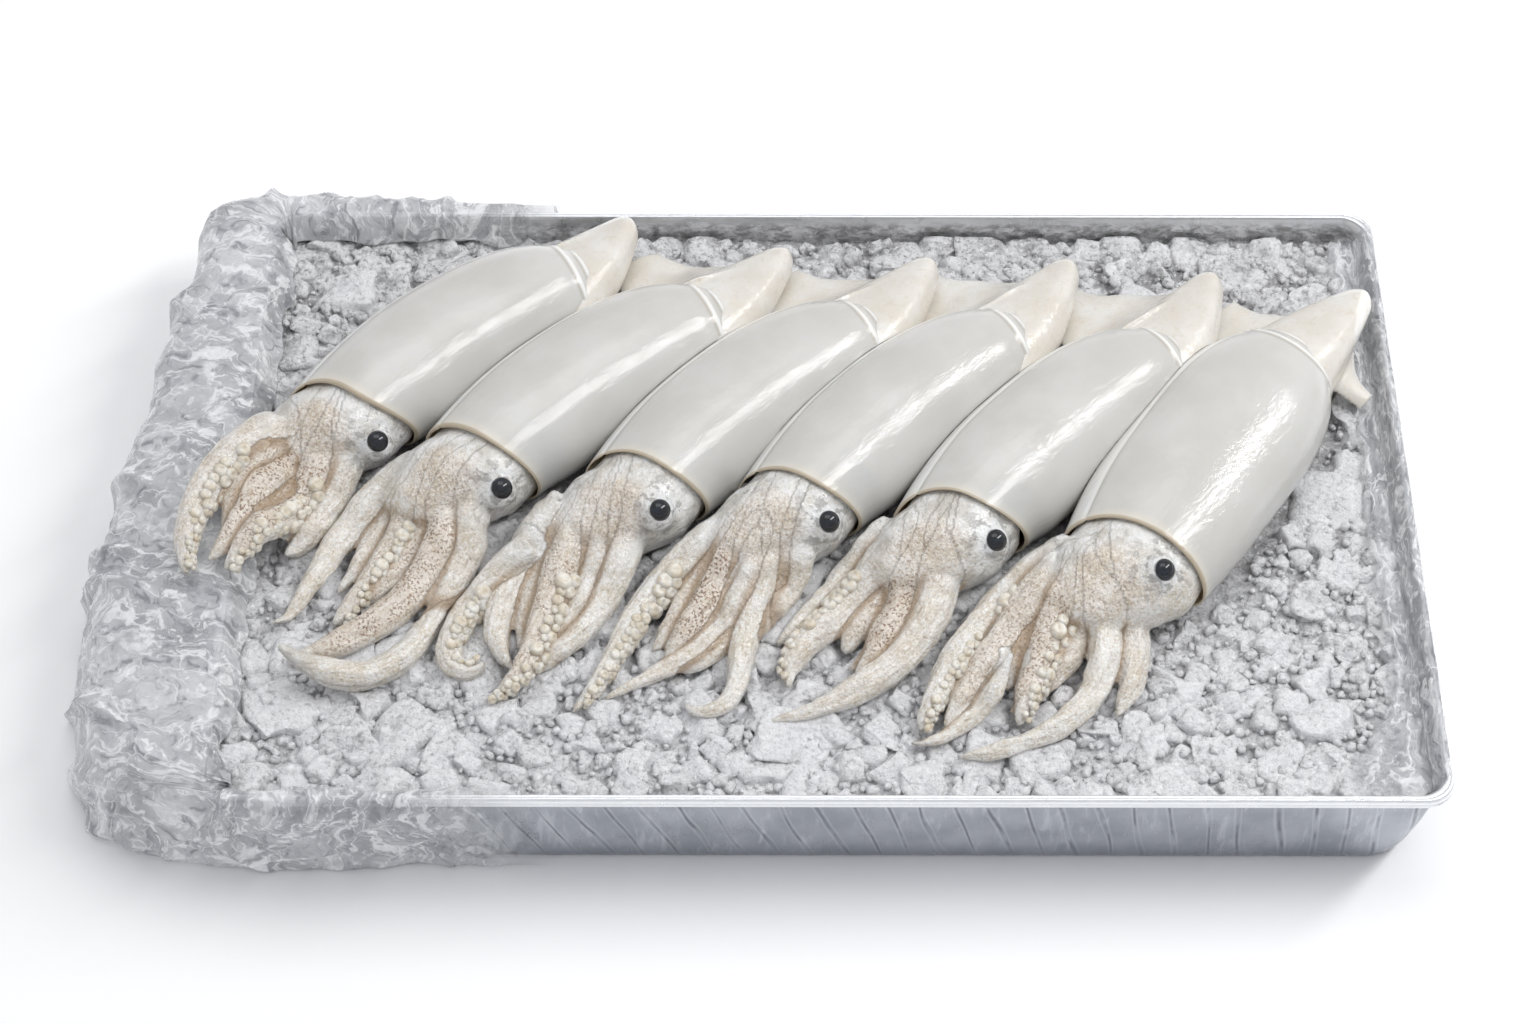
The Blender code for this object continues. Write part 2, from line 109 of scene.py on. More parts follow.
def capFaces(ring, sides, pole, flip):
    faces = []
    for side in range(sides):
        a, b = ring * sides + side, ring * sides + (side + 1) % sides
        faces.append((b, a, pole) if flip else (a, b, pole))
    return faces


def loftMesh(name, rings, startPole=None, endPole=None):
    sides = len(rings[0])
    points = [p for ring in rings for p in ring]
    faces = loftFaces(len(rings), sides)
    if startPole is not None:
        faces += capFaces(0, sides, len(points), True)
        points.append(startPole)
    if endPole is not None:
        faces += capFaces(len(rings) - 1, sides, len(points), False)
        points.append(endPole)
    return makeMesh(name, points, faces)


def faceOutward(mesh):
    shell = bmesh.new()
    shell.from_mesh(mesh)
    bmesh.ops.remove_doubles(shell, verts=shell.verts, dist=1e-6)
    bmesh.ops.recalc_face_normals(shell, faces=shell.faces)
    shell.to_mesh(mesh)
    shell.free()
    return mesh


def addAttribute(mesh, name, values):
    layer = mesh.attributes.new(name, "FLOAT", "POINT")
    layer.data.foreach_set("value", np.asarray(values, np.float32))


def readPoints(mesh):
    flat = np.empty(len(mesh.vertices) * 3, np.float32)
    mesh.vertices.foreach_get("co", flat)
    return flat.reshape(-1, 3).astype(float)


def readNormals(mesh):
    flat = np.empty(len(mesh.vertices) * 3, np.float32)
    mesh.vertex_normals.foreach_get("vector", flat)
    return flat.reshape(-1, 3).astype(float)


def writePoints(mesh, points):
    mesh.vertices.foreach_set("co", np.asarray(points, np.float32).ravel())
    mesh.update()


def bakeModifiers(mesh, setups):
    # runs modifiers on a mesh through a helper object and returns the plain result
    helper = bpy.data.objects.new("helper", mesh)
    scene.collection.objects.link(helper)
    for kind, settings in setups:
        modifier = helper.modifiers.new(kind, kind)
        for key, value in settings.items():
            setattr(modifier, key, value)
    graph = bpy.context.evaluated_depsgraph_get()
    baked = bpy.data.meshes.new_from_object(helper.evaluated_get(graph))
    bpy.data.objects.remove(helper)
    return baked


def bakeNodes(mesh, tree, inputs):
    # runs a Geometry Nodes tree on a mesh, with its inputs set by name
    helper = bpy.data.objects.new("helper", mesh)
    scene.collection.objects.link(helper)
    modifier = helper.modifiers.new("nodes", "NODES")
    modifier.node_group = tree
    sockets = {s.name: s.identifier for s in tree.interface.items_tree if s.in_out == "INPUT"}
    for name, value in inputs.items():
        modifier[sockets[name]] = value
    graph = bpy.context.evaluated_depsgraph_get()
    baked = bpy.data.meshes.new_from_object(helper.evaluated_get(graph))
    helper.modifiers.remove(modifier)
    bpy.data.objects.remove(helper)
    return baked


# ------------------------------------------------ camera, light and floor

view = {
    "place": (-0.0209, -0.8697, 1.1531),
    "tilt": 38.0,
    "turn": 0.15,
    "roll": 0.04,
    "lens": 77.3,
}
light = {
    "key": {"place": (1.085, 0.175, 1.435), "aim": (0, 0, 0.07), "long": (0.7, 0.7, 0),
            "size": (1.5, 0.26), "watts": 15},
    "top": {"place": (-0.2, 0.5, 1.9), "aim": (0, 0, 0.05), "long": (1, 0, 0),
            "size": (1.6, 1.2), "watts": 9},
    "sky": 0.62,
}


def addCamera(spec):
    data = bpy.data.cameras.new("camera")
    data.lens = spec["lens"]
    data.sensor_width = 36
    data.clip_start = 0.05
    camera = bpy.data.objects.new("camera", data)
    camera.location = spec["place"]
    facing = Euler((math.radians(spec["tilt"]), 0, math.radians(spec["turn"])), "XYZ").to_matrix()
    roll = Euler((0, 0, math.radians(-spec["roll"])), "XYZ").to_matrix()
    camera.rotation_euler = (facing @ roll).to_euler()
    scene.collection.objects.link(camera)
    scene.camera = camera


def addLight(name, spec):
    data = bpy.data.lights.new(name, "AREA")
    data.shape = "RECTANGLE"
    data.size, data.size_y = spec["size"]
    data.energy = spec["watts"]
    lamp = bpy.data.objects.new(name, data)
    lamp.location = spec["place"]
    back = (Vector(spec["place"]) - Vector(spec["aim"])).normalized()
    side = Vector(spec["long"])
    side = (side - back * side.dot(back)).normalized()
    lamp.rotation_euler = Matrix((side, back.cross(side), back)).transposed().to_euler()
    scene.collection.objects.link(lamp)


def addFloor():
    half = 6.0
    corners = [(-half, -half, 0), (half, -half, 0), (half, half, 0), (-half, half, 0)]
    floor = bpy.data.objects.new("floor", makeMesh("floor", corners, [(0, 1, 2, 3)]))
    scene.collection.objects.link(floor)
    material = bpy.data.materials.new("floor white")
    material.use_nodes = True
    shader = material.node_tree.nodes["Principled BSDF"]
    shader.inputs["Base Color"].default_value = (1.0, 1.0, 1.0, 1)
    shader.inputs["Roughness"].default_value = 0.85
    floor.data.materials.append(material)


addCamera(view)
addLight("key light", light["key"])
addLight("top light", light["top"])
addFloor()
world = bpy.data.worlds.new("studio")
world.use_nodes = True
world.node_tree.nodes["Background"].inputs["Color"].default_value = (0.95, 0.965, 1.0, 1)
world.node_tree.nodes["Background"].inputs["Strength"].default_value = light["sky"]
scene.world = world
scene.view_settings.view_transform = "Standard"

# ------------------------------------------------ node and material helpers


class NodeMaker:
    # adds nodes to a tree and links their inputs, by socket name or number

    def __init__(self, tree):
        self.tree = tree

    def add(self, kind, inputs=None, **settings):
        node = self.tree.nodes.new(kind)
        for key, value in settings.items():
            setattr(node, key, value)
        for key, value in (inputs or {}).items():
            self.feed(node.inputs[key], value)
        return node

    def feed(self, socket, value):
        if isinstance(value, bpy.types.NodeSocket):
            self.tree.links.new(value, socket)
        else:
            socket.default_value = value

    def math(self, operation, first, second=0.0, third=0.0, clamp=False):
        node = self.add("ShaderNodeMath", {0: first, 1: second, 2: third}, operation=operation)
        node.use_clamp = clamp
        return node.outputs[0]

    def vector(self, operation, first, second=(0, 0, 0)):
        node = self.add("ShaderNodeVectorMath", {0: first, 1: second}, operation=operation)
        return node.outputs["Value"] if operation in ("LENGTH", "DOT_PRODUCT") else node.outputs[0]

    def range(self, value, low, high, toLow=0.0, toHigh=1.0, smooth=True):
        node = self.add("ShaderNodeMapRange", {
            "Value": value, "From Min": low, "From Max": high, "To Min": toLow, "To Max": toHigh,
        })
        node.interpolation_type = "SMOOTHSTEP" if smooth else "LINEAR"
        return node.outputs["Result"]

    def noise(self, vector, size, detail=3.0, rough=0.55, warp=0.0):
        node = self.add("ShaderNodeTexNoise", {
            "Vector": vector, "Scale": 1 / size, "Detail": detail, "Roughness": rough,
            "Distortion": warp,
        })
        return node.outputs[0]

    def cells(self, vector, size, feature="F1", output="Distance", spread=1.0):
        node = self.add("ShaderNodeTexVoronoi", {"Vector": vector, "Scale": 1 / size},
                        feature=feature)
        node.inputs["Randomness"].default_value = spread
        return node.outputs[output]

    def mix(self, share, first, second, blend="MIX"):
        # the node has several sockets of one name, so its colours are found by type
        node = self.add("ShaderNodeMix", data_type="RGBA", blend_type=blend)
        colours = [s for s in node.inputs if s.type == "RGBA"]
        self.feed(node.inputs[0], share)
        self.feed(colours[0], first)
        self.feed(colours[1], second)
        return [s for s in node.outputs if s.type == "RGBA"][0]

    def stretch(self, vector, scale, turn=(0, 0, 0)):
        node = self.add("ShaderNodeMapping", {"Vector": vector, "Scale": scale, "Rotation": turn})
        return node.outputs[0]

    def attribute(self, name):
        return self.add("ShaderNodeAttribute", attribute_name=name).outputs["Fac"]

    def bump(self, height, distance, strength=1.0, before=None):
        node = self.add("ShaderNodeBump", {
            "Height": height, "Distance": distance, "Strength": strength,
        })
        if before is not None:
            self.feed(node.inputs["Normal"], before)
        return node.outputs["Normal"]


def startMaterial(name):
    material = bpy.data.materials.new(name)
    material.use_nodes = True
    maker = NodeMaker(material.node_tree)
    shader = material.node_tree.nodes["Principled BSDF"]
    place = maker.add("ShaderNodeTexCoord").outputs["Object"]
    return material, maker, shader, place


def grey(level):
    return (level, level, level, 1)


# ------------------------------------------------ squid sizes

# Distances are millimetres and turns are degrees, in each squid's own frame: the
# collar's centre, the mantle's mean heading from +X, how far it bends to the right
# on the way, its length, its half widths, how the tail turns and how far it reaches,
# the collar's edge at the left, top and right (ahead is positive), the right eye
# (ahead, left, height), and each fin's span and sweep.
squidRows = (
    dict(x=-203, y=26, heading=40, curve=26, length=136, left=35, right=28, tail=13,
         reach=62, collar=(5, -5, -17), eye=(1.6, -19, 71), leftFin=(16, 44)),
    dict(x=-146, y=0, heading=40, curve=28, length=141, left=35, right=28, tail=9,
         reach=73, collar=(-2, -6, -12), eye=(4.6, -17.3, 73.5), leftFin=(34, 47)),
    dict(x=-76, y=-15, heading=43, curve=26, length=144, left=35, right=27, tail=10,
         reach=73, collar=(0, -9, -15), eye=(6.9, -14, 77.5), leftFin=(34, 47)),
    dict(x=-12, y=-22, heading=44, curve=26, length=146, left=33, right=28, tail=12,
         reach=75, collar=(1, -7, -14), eye=(1.4, -17.3, 75),
         leftEye=(2.5, 20.5, 69), leftFin=(35, 47)),
    dict(x=55, y=-35, heading=45, curve=26, length=147, left=34, right=28, tail=15,
         reach=76, collar=(2, -10, -18), eye=(-1.7, -17.1, 75.5), leftFin=(35, 47)),
    dict(x=126, y=-50, heading=56, curve=10, length=147, left=37, right=38, tail=-8,
         reach=76, collar=(-2, -10, -5), eye=(4, -15.8, 80),
         leftFin=(48, 29), rightFin=(31, 38)),
)

# One row for each arm: where it leaves the head (ahead, left), its first direction,
# its turn along the whole length and the further turn of its last part, its length,
# its width at the base and at the tip, how freckled it is, and on which side its
# suckers show (1 left, -1 right, 0 none).
armRows = (
    (
        (23, 17, -24, 70, 9, 90, 18, 8, 0.3, -1),
        (19, 13, 10, 10, -28, 78, 15, 8, 1.0, 0),
        (15, -1, 12, -13, 11, 80, 18, 9, 0.8, -1),
        (13, -5, 30, -36, 7, 57, 16, 9, 0.3, 0),
    ),
    (
        (16, 25, -19, 50, -41, 97, 14, 4, 0.0, 0),
        (15, 16, 10, -3, -10, 80, 14, 9, 0.5, -1),
        (18, 4, 35, -78, 4, 110, 14, 12, 0.9, 0),
        (121, 10, 85, 156, -56, 94, 12, 10, 0.0, 0),
        (19, -6, 40, -45, 11, 56, 15, 8, 0.2, 0),
    ),
    (
        (23, 29, -9, 7, -49, 50, 12, 5, 0.0, 0),
        (50, 27, -20, 50, 187, 80, 12, 9, 0.2, -1),
        (29, 26, -14, 60, 32, 78, 17, 8, 0.1, 0),
        (27, 17, 16, 6, -62, 90, 17, 7, 0.7, -1),
        (24, 6, 24, -22, 2, 60, 15, 8, 0.0, 0),
        (20, -3, 24, -54, 4, 86, 13, 5, 0.0, 0),
    ),
    (
        (24, 20, -28, 62, -50, 108, 14, 5, 0.0, -1),
        (24, 14, 10, -13, -4, 64, 18, 9, 1.0, 0),
        (29, 4, 22, -76, 31, 94, 11, 4, 0.2, 0),
        (20, -1, 6, 38, -173, 96, 13, 5, 0.0, 0),
        (18, -10, 14, -16, -6, 32, 13, 9, 0.2, 0),
    ),
    (
        (13, 27, -17, 13, -9, 70, 12, 5, 0.0, 0),
        (19, 21, -3, -20, 72, 80, 15, 9, 0.2, 1),
        (12, 12, 20, -27, 0, 68, 20, 9, 1.0, 0),
        (12, 3, 30, -87, 10, 114, 16, 5, 0.2, 0),
        (10, -2, 8, -22, 46, 58, 13, 7, 0.0, 0),
    ),
    (
        (8, 26, -32, 48, -7, 106, 16, 9, 0.0, -1),
        (17, 26, -12, 13, -4, 86, 18, 7, 0.6, 0),
        (15, 20, 6, 4, 3, 74, 20, 9, 0.8, -1),
        (17, 15, 60, -139, 24, 118, 13, 5, 0.0, 0),
        (12, 4, 56, -56, -9, 62, 14, 7, 0.2, 0),
        (66, 24, 4, -45, -39, 58, 8, 4, 0.0, 0),
    ),
)

body = {
    "above": 27.0,        # mantle above and below its middle height
    "below": 21.0,
    "middle": 62.0,
    "collarShare": 0.86,  # collar against the widest place
    "widest": 0.42,
    "bluntness": 3.2,
    "wall": 1.2,
    "innerDepth": 26.0,
    "rings": 84,
    "sides": 120,
    "gap": 0.15,
    "hem": 0.940,         # where the flank's groove runs, as the cosine from the outline
    "lips": ((0.0125, 0.00085), (0.0065, 0.0007)),
    "iceLevel": 45.5,
}


def heading(row, share):
    return math.radians(row["heading"] + row["curve"] * (0.5 - share))


def axesAt(row, share):
    angle = heading(row, share)
    along = Vector((math.cos(angle), math.sin(angle)))
    return along, Vector((-along.y, along.x))


def spinePoint(row, distance):
    point = Vector((row["x"], row["y"]))
    steps = 12
    for i in range(steps):
        angle = heading(row, (i + 0.5) / steps * distance / row["length"])
        point += Vector((math.cos(angle), math.sin(angle))) * distance / steps
    return point


def beforeCollar(row, ahead, left):
    along, aside = axesAt(row, 0)
    return Vector((row["x"], row["y"])) - along * ahead + aside * left


def mantleFullness(share):
    if share < body["widest"]:
        rise = math.sin(math.pi / 2 * share / body["widest"])
        return between((body["collarShare"], 1), rise)
    past = (share - body["widest"]) / (1 - body["widest"])
    return math.sqrt(max(0.0, 1 - past ** body["bluntness"]))


def ovalPoint(centre, side, angle, widths, heights, middle):
    # a point of an upright oval: angle 0 is the left side, 90 degrees the top
    across, up = math.cos(angle), math.sin(angle)
    wide = widths[0] if across > 0 else widths[1]
    high = heights[0] if up > 0 else heights[1]
    flat = centre + side * across * wide
    return Vector((flat.x, flat.y, middle + up * high)) * mm


# ------------------------------------------------ mantles

def collarEdge(row, angle):
    # how far ahead the collar's edge stands, round from the left over the top
    left, top, right = row["collar"]
    across, up = math.cos(angle), max(0.0, math.sin(angle))
    side = left if across > 0 else right
    return between((side, top), up ** 1.5)


def mantleRing(row, share, inset, angles):
    full = mantleFullness(share)
    along, left = axesAt(row, share)
    flat = full ** 0.8
    widths = (row["left"] * full - inset, row["right"] * full - inset)
    heights = (body["above"] * flat - inset, body["below"] * flat - inset)
    fade = 1 - ease(0, 0.3, share)
    ring = []
    for angle in angles:
        reach = collarEdge(row, angle) * fade
        centre = spinePoint(row, share * row["length"]) - along * reach
        ring.append(ovalPoint(centre, left, angle, widths, heights, body["middle"]))
    return ring


def makeMantleMesh(row):
    sides, rings = body["sides"], body["rings"]
    angles = [2 * math.pi * (i + 0.5) / sides for i in range(sides)]
    rows, back, inside = [], [], []
    # the inner wall runs from deep inside to the collar
    depth = body["innerDepth"]
    for step in range(7):
        behind = depth * (1 - step / 6) ** 1.4
        rows.append(mantleRing(row, behind / row["length"], body["wall"], angles))
        back.append(behind)
        inside.append(1.0)
    # the collar's edge rolls over to the outside
    along = axesAt(row, 0)[0].to_3d()
    for step in range(1, 5):
        turn = math.pi * step / 5
        inset = body["wall"] * (1 + math.cos(turn)) / 2
        ring = mantleRing(row, 0, inset, angles)
        forward = along * body["wall"] / 2 * math.sin(turn) * mm
        rows.append([p - forward for p in ring])
        back.append(0.0)
        inside.append(0.5)
    for step in range(rings):
        share = math.sin(math.pi / 2 * step / (rings - 1)) ** 1.15
        if step == rings - 1:
            break
        rows.append(mantleRing(row, share, 0, angles))
        back.append(share * row["length"])
        inside.append(0.0)
    end = spinePoint(row, row["length"])
    pole = Vector((end.x, end.y, body["middle"])) * mm
    mesh = loftMesh("mantle", rows, endPole=pole)
    addAttribute(mesh, "behind", [b * mm for b in back for i in range(sides)] + [row["length"] * mm])
    addAttribute(mesh, "toEnd", [(row["length"] - b) * mm for b in back for i in range(sides)] + [0.0])
    addAttribute(mesh, "inside", [v for v in inside for i in range(sides)] + [0.0])
    rim = [math.cos(a - math.radians(21)) for a in angles]
    addAttribute(mesh, "flank", [r for ring in rows for r in rim] + [0.0])
    return mesh


def readAttribute(mesh, name):
    values = np.empty(len(mesh.vertices), np.float32)
    mesh.attributes[name].data.foreach_get("value", values)
    return values


def softenMantle(mesh, length, seed):
    # slow swells, lips at the far end and a hem along the left flank
    points, normals = readPoints(mesh), readNormals(mesh)
    behind, flank = readAttribute(mesh, "behind"), readAttribute(mesh, "flank")
    for i, point in enumerate(points):
        swell = ripple(point, 0.045, seed) * 0.0007
        # two thin lips where the mantle ends over the tail
        for lip, height in body["lips"]:
            swell += height * math.exp(-((length - behind[i] - lip) / 0.0012) ** 2)
        # a hem along the flank, behind a faint groove
        swell -= 0.0006 * math.exp(-((flank[i] - body["hem"]) / 0.006) ** 2)
        points[i] += normals[i] * swell
    writePoints(mesh, points)


def pressAgainst(mesh, neighbour, gap):
    # moves what would lie inside the neighbour out to its surface
    tree = BVHTree.FromPolygons([v.co for v in neighbour.vertices],
                                [p.vertices for p in neighbour.polygons])
    points = readPoints(mesh)
    for i, point in enumerate(points):
        spot, normal, _, distance = tree.find_nearest(Vector(point), 0.03)
        if spot is None:
            continue
        depth = (Vector(point) - spot).dot(normal)
        if depth < gap:
            points[i] = spot + normal * gap
    writePoints(mesh, points)


# ------------------------------------------------ tails and fins

tail = {
    "start": 0.80,
    "rootHalf": (26.0, 20.0),
    "tipHalf": (5.0, 6.0),
    "taper": 1.5,
    "middle": (60.0, 65.0),
    "finRoot": 0.30,
    "finThick": 2.4,
    "hollow": 40.0,
    "fillet": 13.0,
    "lean": 7.0,
    "finFront": (0.70, 0.55),
    "tipChord": 24.0,
    "grain": 0.0009,
}


def tailPoint(row, share):
    start = spinePoint(row, row["length"] * tail["start"])
    angle = heading(row, 0.6) + math.radians(row["tail"]) * (0.5 + 0.5 * share)
    along = Vector((math.cos(angle), math.sin(angle)))
    return start + along * row["reach"] * share, Vector((-along.y, along.x))


def makeTailMesh(row):
    rings = []
    count, sides = 26, 40
    for i in range(count):
        share = i / (count - 1)
        centre, left = tailPoint(row, share * 0.985)
        half = between((tail["rootHalf"][0], tail["tipHalf"][0]), share ** tail["taper"])
        tall = between((tail["rootHalf"][1], tail["tipHalf"][1]), share)
        close = math.sqrt(max(0.02, 1 - max(0.0, (share - 0.9) / 0.1) ** 2))
        middle = between(tail["middle"], share)
        ring = []
        for k in range(sides):
            angle = 2 * math.pi * k / sides
            # the cone's back is a ridge that leans to the right, over a steep side
            up = max(0.0, math.sin(angle))
            narrow = 1 - 0.30 * up ** 2 * share
            lean = left * (-tail["lean"] * up ** 2 * math.sin(math.pi * share))
            ring.append(ovalPoint(centre + lean, left, angle, (half * close * narrow,) * 2,
                                  (tall * close, tall * close), middle))
        rings.append(ring)
    first = sum(rings[0], Vector()) / sides
    last = sum(rings[-1], Vector()) / sides
    return loftMesh("tail", rings, first, last)


def makeFinMesh(row, side, spread):
    span, sweep = spread
    rootBack = tailPoint(row, 0.97)[0]
    along, left = axesAt(row, 1)
    if side > 0:
        share, aside = tail["finFront"]
        rootFront = spinePoint(row, row["length"] * share) + left * aside * row["left"]
        tipChord = tail["tipChord"]
    else:
        rootFront, tipChord = tailPoint(row, tail["finRoot"])[0], 10
    corner = rootBack - along * sweep + left * side * span
    count, chord = 22, 18
    rings = []
    for i in range(count):
        share = i / (count - 1)
        back = rootBack.lerp(corner, share) - along * tail["hollow"] * share * (1 - share)
        front = rootFront.lerp(corner - along * tipChord, share)
        thick = tail["finThick"] / 2 * (1 - 0.45 * share)
        base = between((58, 53), share)
        upper, lower = [], []
        for k in range(chord):
            t = k / (chord - 1)
            spot = front.lerp(back, t)
            edge = math.sqrt(max(0.0, 1 - (2 * t - 1) ** 6))
            lift = 2.6 * math.sin(math.pi * t) + 1.6 * ripple((spot.x, spot.y, side), 16)
            # the fin rises into the tail in a hollow curve
            lift += tail["fillet"] * (1 - share) ** 4 * (1 - t ** 3)
            upper.append(Vector((spot.x, spot.y, base + lift + thick * edge)) * mm)
            lower.append(Vector((spot.x, spot.y, base + lift - thick * edge)) * mm)
        rings.append(upper + lower[::-1])
    first = sum(rings[0], Vector()) / len(rings[0])
    last = sum(rings[-1], Vector()) / len(rings[-1])
    return loftMesh("fin", rings, first, last)


def finEdge(row, side, spread):
    # points along the fin's free back edge, for its pale rim
    span, sweep = spread
    rootBack = tailPoint(row, 0.97)[0]
    along, left = axesAt(row, 1)
    corner = rootBack - along * sweep + left * side * span
    spots = []
    for i in range(40):
        share = i / 39
        spot = rootBack.lerp(corner, share) - along * tail["hollow"] * share * (1 - share)
        spots.append(Vector((spot.x, spot.y)) * mm)
    return spots


def markRims(mesh, edges):
    tree = kdtree.KDTree(len(edges))
    for number, spot in enumerate(edges):
        tree.insert(spot.to_3d(), number)
    tree.balance()
    addAttribute(mesh, "rimNear", [tree.find(Vector((p[0], p[1], 0)))[2] for p in readPoints(mesh)])


def joinMeshes(name, meshes):
    joined = bmesh.new()
    for mesh in meshes:
        joined.from_mesh(mesh)
    result = bpy.data.meshes.new(name)
    joined.to_mesh(result)
    joined.free()
    return result


def meltTogether(mesh, grain, smoothing):
    # one skin over overlapping shapes, with the creases between them softened
    faceOutward(mesh)
    return bakeModifiers(mesh, [
        ("REMESH", {"mode": "VOXEL", "voxel_size": grain, "use_smooth_shade": True}),
        ("SMOOTH", {"factor": 0.5, "iterations": smoothing}),
    ])


# ------------------------------------------------ heads and arms

head = {
    "from": -24.0,
    "to": 36.0,
    "slack": 2.6,
    "heights": (21.5, 17.0),
    "middle": (62.0, 59.0),
    "lean": 15.0,
    "grain": 0.00095,
    "eyeRadius": 4.9,
    "bulge": 8.2,
    "bulgeBehind": 5.2,
}
arm = {
    "rootHeight": 63.0,
    "rootDepth": 6.0,
    "samples": 60,
    "sides": 18,
    "hookStart": 0.55,
    "dropEnd": 0.45,
    "taper": 1.8,
    "tipShare": 0.72,
    "loose": 60,
    "stretch": 1.14,
    "overIce": 1.0,
    "overRim": 4.0,
}


def restingHeight(x):
    climb = min(1.0, max(0.0, (-222.0 - x) / 14.0))
    return between((body["iceLevel"] + arm["overIce"], rimTop / mm + arm["overRim"]), climb)


def armCurve(row, armRow):
    # centre points in millimetres and half widths, from the head to the tip
    ahead, left, aim, bend, hook, length, thick, thin = armRow[:8]
    spot = beforeCollar(row, ahead - arm["rootDepth"], left)
    start = heading(row, 0) + math.pi
    samples = arm["samples"]
    points, halves = [], []
    for i in range(samples + 1):
        share = i / samples
        half = between((thick, thin * arm["tipShare"]), share ** arm["taper"]) / 2 * arm["stretch"]
        if ahead > arm["loose"]:
            half *= between((0.3, 1), ease(0, 0.3, share))
        rest = restingHeight(spot.x) + half * 0.92
        drop = min(1.0, share / arm["dropEnd"])
        middle = max(rest, between((arm["rootHeight"], rest), drop * drop * (3 - 2 * drop)))
        points.append(Vector((spot.x, spot.y, middle)))
        halves.append(half)
        late = max(0.0, (share - arm["hookStart"]) / (1 - arm["hookStart"]))
        angle = start + math.radians(aim + bend * share + hook * late ** 2)
        spot = spot + Vector((math.cos(angle), math.sin(angle))) * length / samples
    return points, halves


def innerArms(arms):
    # slimmer arms that lie between their neighbours and close the gaps near the head
    extra = []
    for first, second in zip(arms, arms[1:]):
        if max(first[0], second[0]) > 40 or abs(first[1] - second[1]) > 22:
            continue
        mean = [(a + b) / 2 for a, b in zip(first, second)]
        mean[5] *= 0.74
        mean[6] *= 0.90
        mean[7] *= 0.80
        extra.append(tuple(mean[:8]) + (mean[8], 0))
    return extra


def makeArmMesh(points, halves, seed):
    rings, sides, last = [], arm["sides"], len(points) - 1
    for i, centre in enumerate(points):
        share = i / last
        ahead = (points[min(i + 1, last)] - points[max(i - 1, 0)]).normalized()
        left = Vector((-ahead.y, ahead.x, 0)).normalized()
        up = ahead.cross(left)
        tip = math.sqrt(max(0.02, 1 - max(0.0, (share - 0.80) / 0.20) ** 1.6))
        wobble = 1 + 0.10 * noise.noise(Vector((share * 5, seed, 0)))
        size = halves[i] * tip * wobble
        ring = []
        for k in range(sides):
            angle = 2 * math.pi * k / sides
            # a keel along the back and a flatter sucker side below
            out = size * (1 + 0.07 * math.cos(3 * angle + 0.5))
            ring.append((centre + left * out * math.cos(angle)
                         + up * out * 0.94 * math.sin(angle)) * mm)
        rings.append(ring)
    return loftMesh("arm", rings, rings[0][0].lerp(rings[0][sides // 2], 0.5),
                    rings[-1][0].lerp(rings[-1][sides // 2], 0.5))


def makeHeadMesh(row):
    # widths (left, right) and heights (above, below) fill the collar, then narrow
    # towards the arms
    rings, count, sides = [], 34, 44
    left = axesAt(row, 0)[1]
    for i in range(count):
        share = i / (count - 1)
        ahead = between((head["from"], head["to"]), share)
        full = 1 - 0.42 * ease(4, head["to"], ahead)
        full *= math.sqrt(max(0.02, 1 - max(0.0, 1 - share / 0.12) ** 2))
        full *= math.sqrt(max(0.02, 1 - max(0.0, (share - 0.86) / 0.14) ** 2))
        centre = beforeCollar(row, ahead, head["lean"] * max(0.0, ahead / head["to"]))
        widths = [(row[side] * body["collarShare"] - head["slack"]) * full
                  for side in ("left", "right")]
        heights = [h * full for h in head["heights"]]
        middle = between(head["middle"], ease(0, head["to"], ahead))
        rings.append([ovalPoint(centre, left, 2 * math.pi * k / sides, widths, heights, middle)
                      for k in range(sides)])
    first = sum(rings[0], Vector()) / sides
    last = sum(rings[-1], Vector()) / sides
    return loftMesh("head", rings, first, last)


def makeBall(name, centre, radius, squash=(1, 1, 1), detail=4):
    ball = bmesh.new()
    bmesh.ops.create_icosphere(ball, subdivisions=detail, radius=radius)
    for vertex in ball.verts:
        vertex.co = Vector([vertex.co[k] * squash[k] for k in range(3)]) + Vector(centre)
    mesh = bpy.data.meshes.new(name)
    ball.to_mesh(mesh)
    ball.free()
    return mesh


def eyeCentre(row, side):
    # the left eye lies low on its flank, where the neighbour hides it
    if side < 0:
        ahead, left, height = row["eye"]
    else:
        ahead, left, height = row.get("leftEye", (row["eye"][0], row["left"] * 0.70, 60))
    spot = beforeCollar(row, ahead, left)
    return Vector((spot.x, spot.y, height)) * mm


def eyeFacing(row, side):
    along, left = axesAt(row, 0)
    raised = 0.80 if side < 0 else 0.45
    return (left.to_3d() * side * 0.55 - along.to_3d() * 0.22 + Vector((0, 0, raised))).normalized()


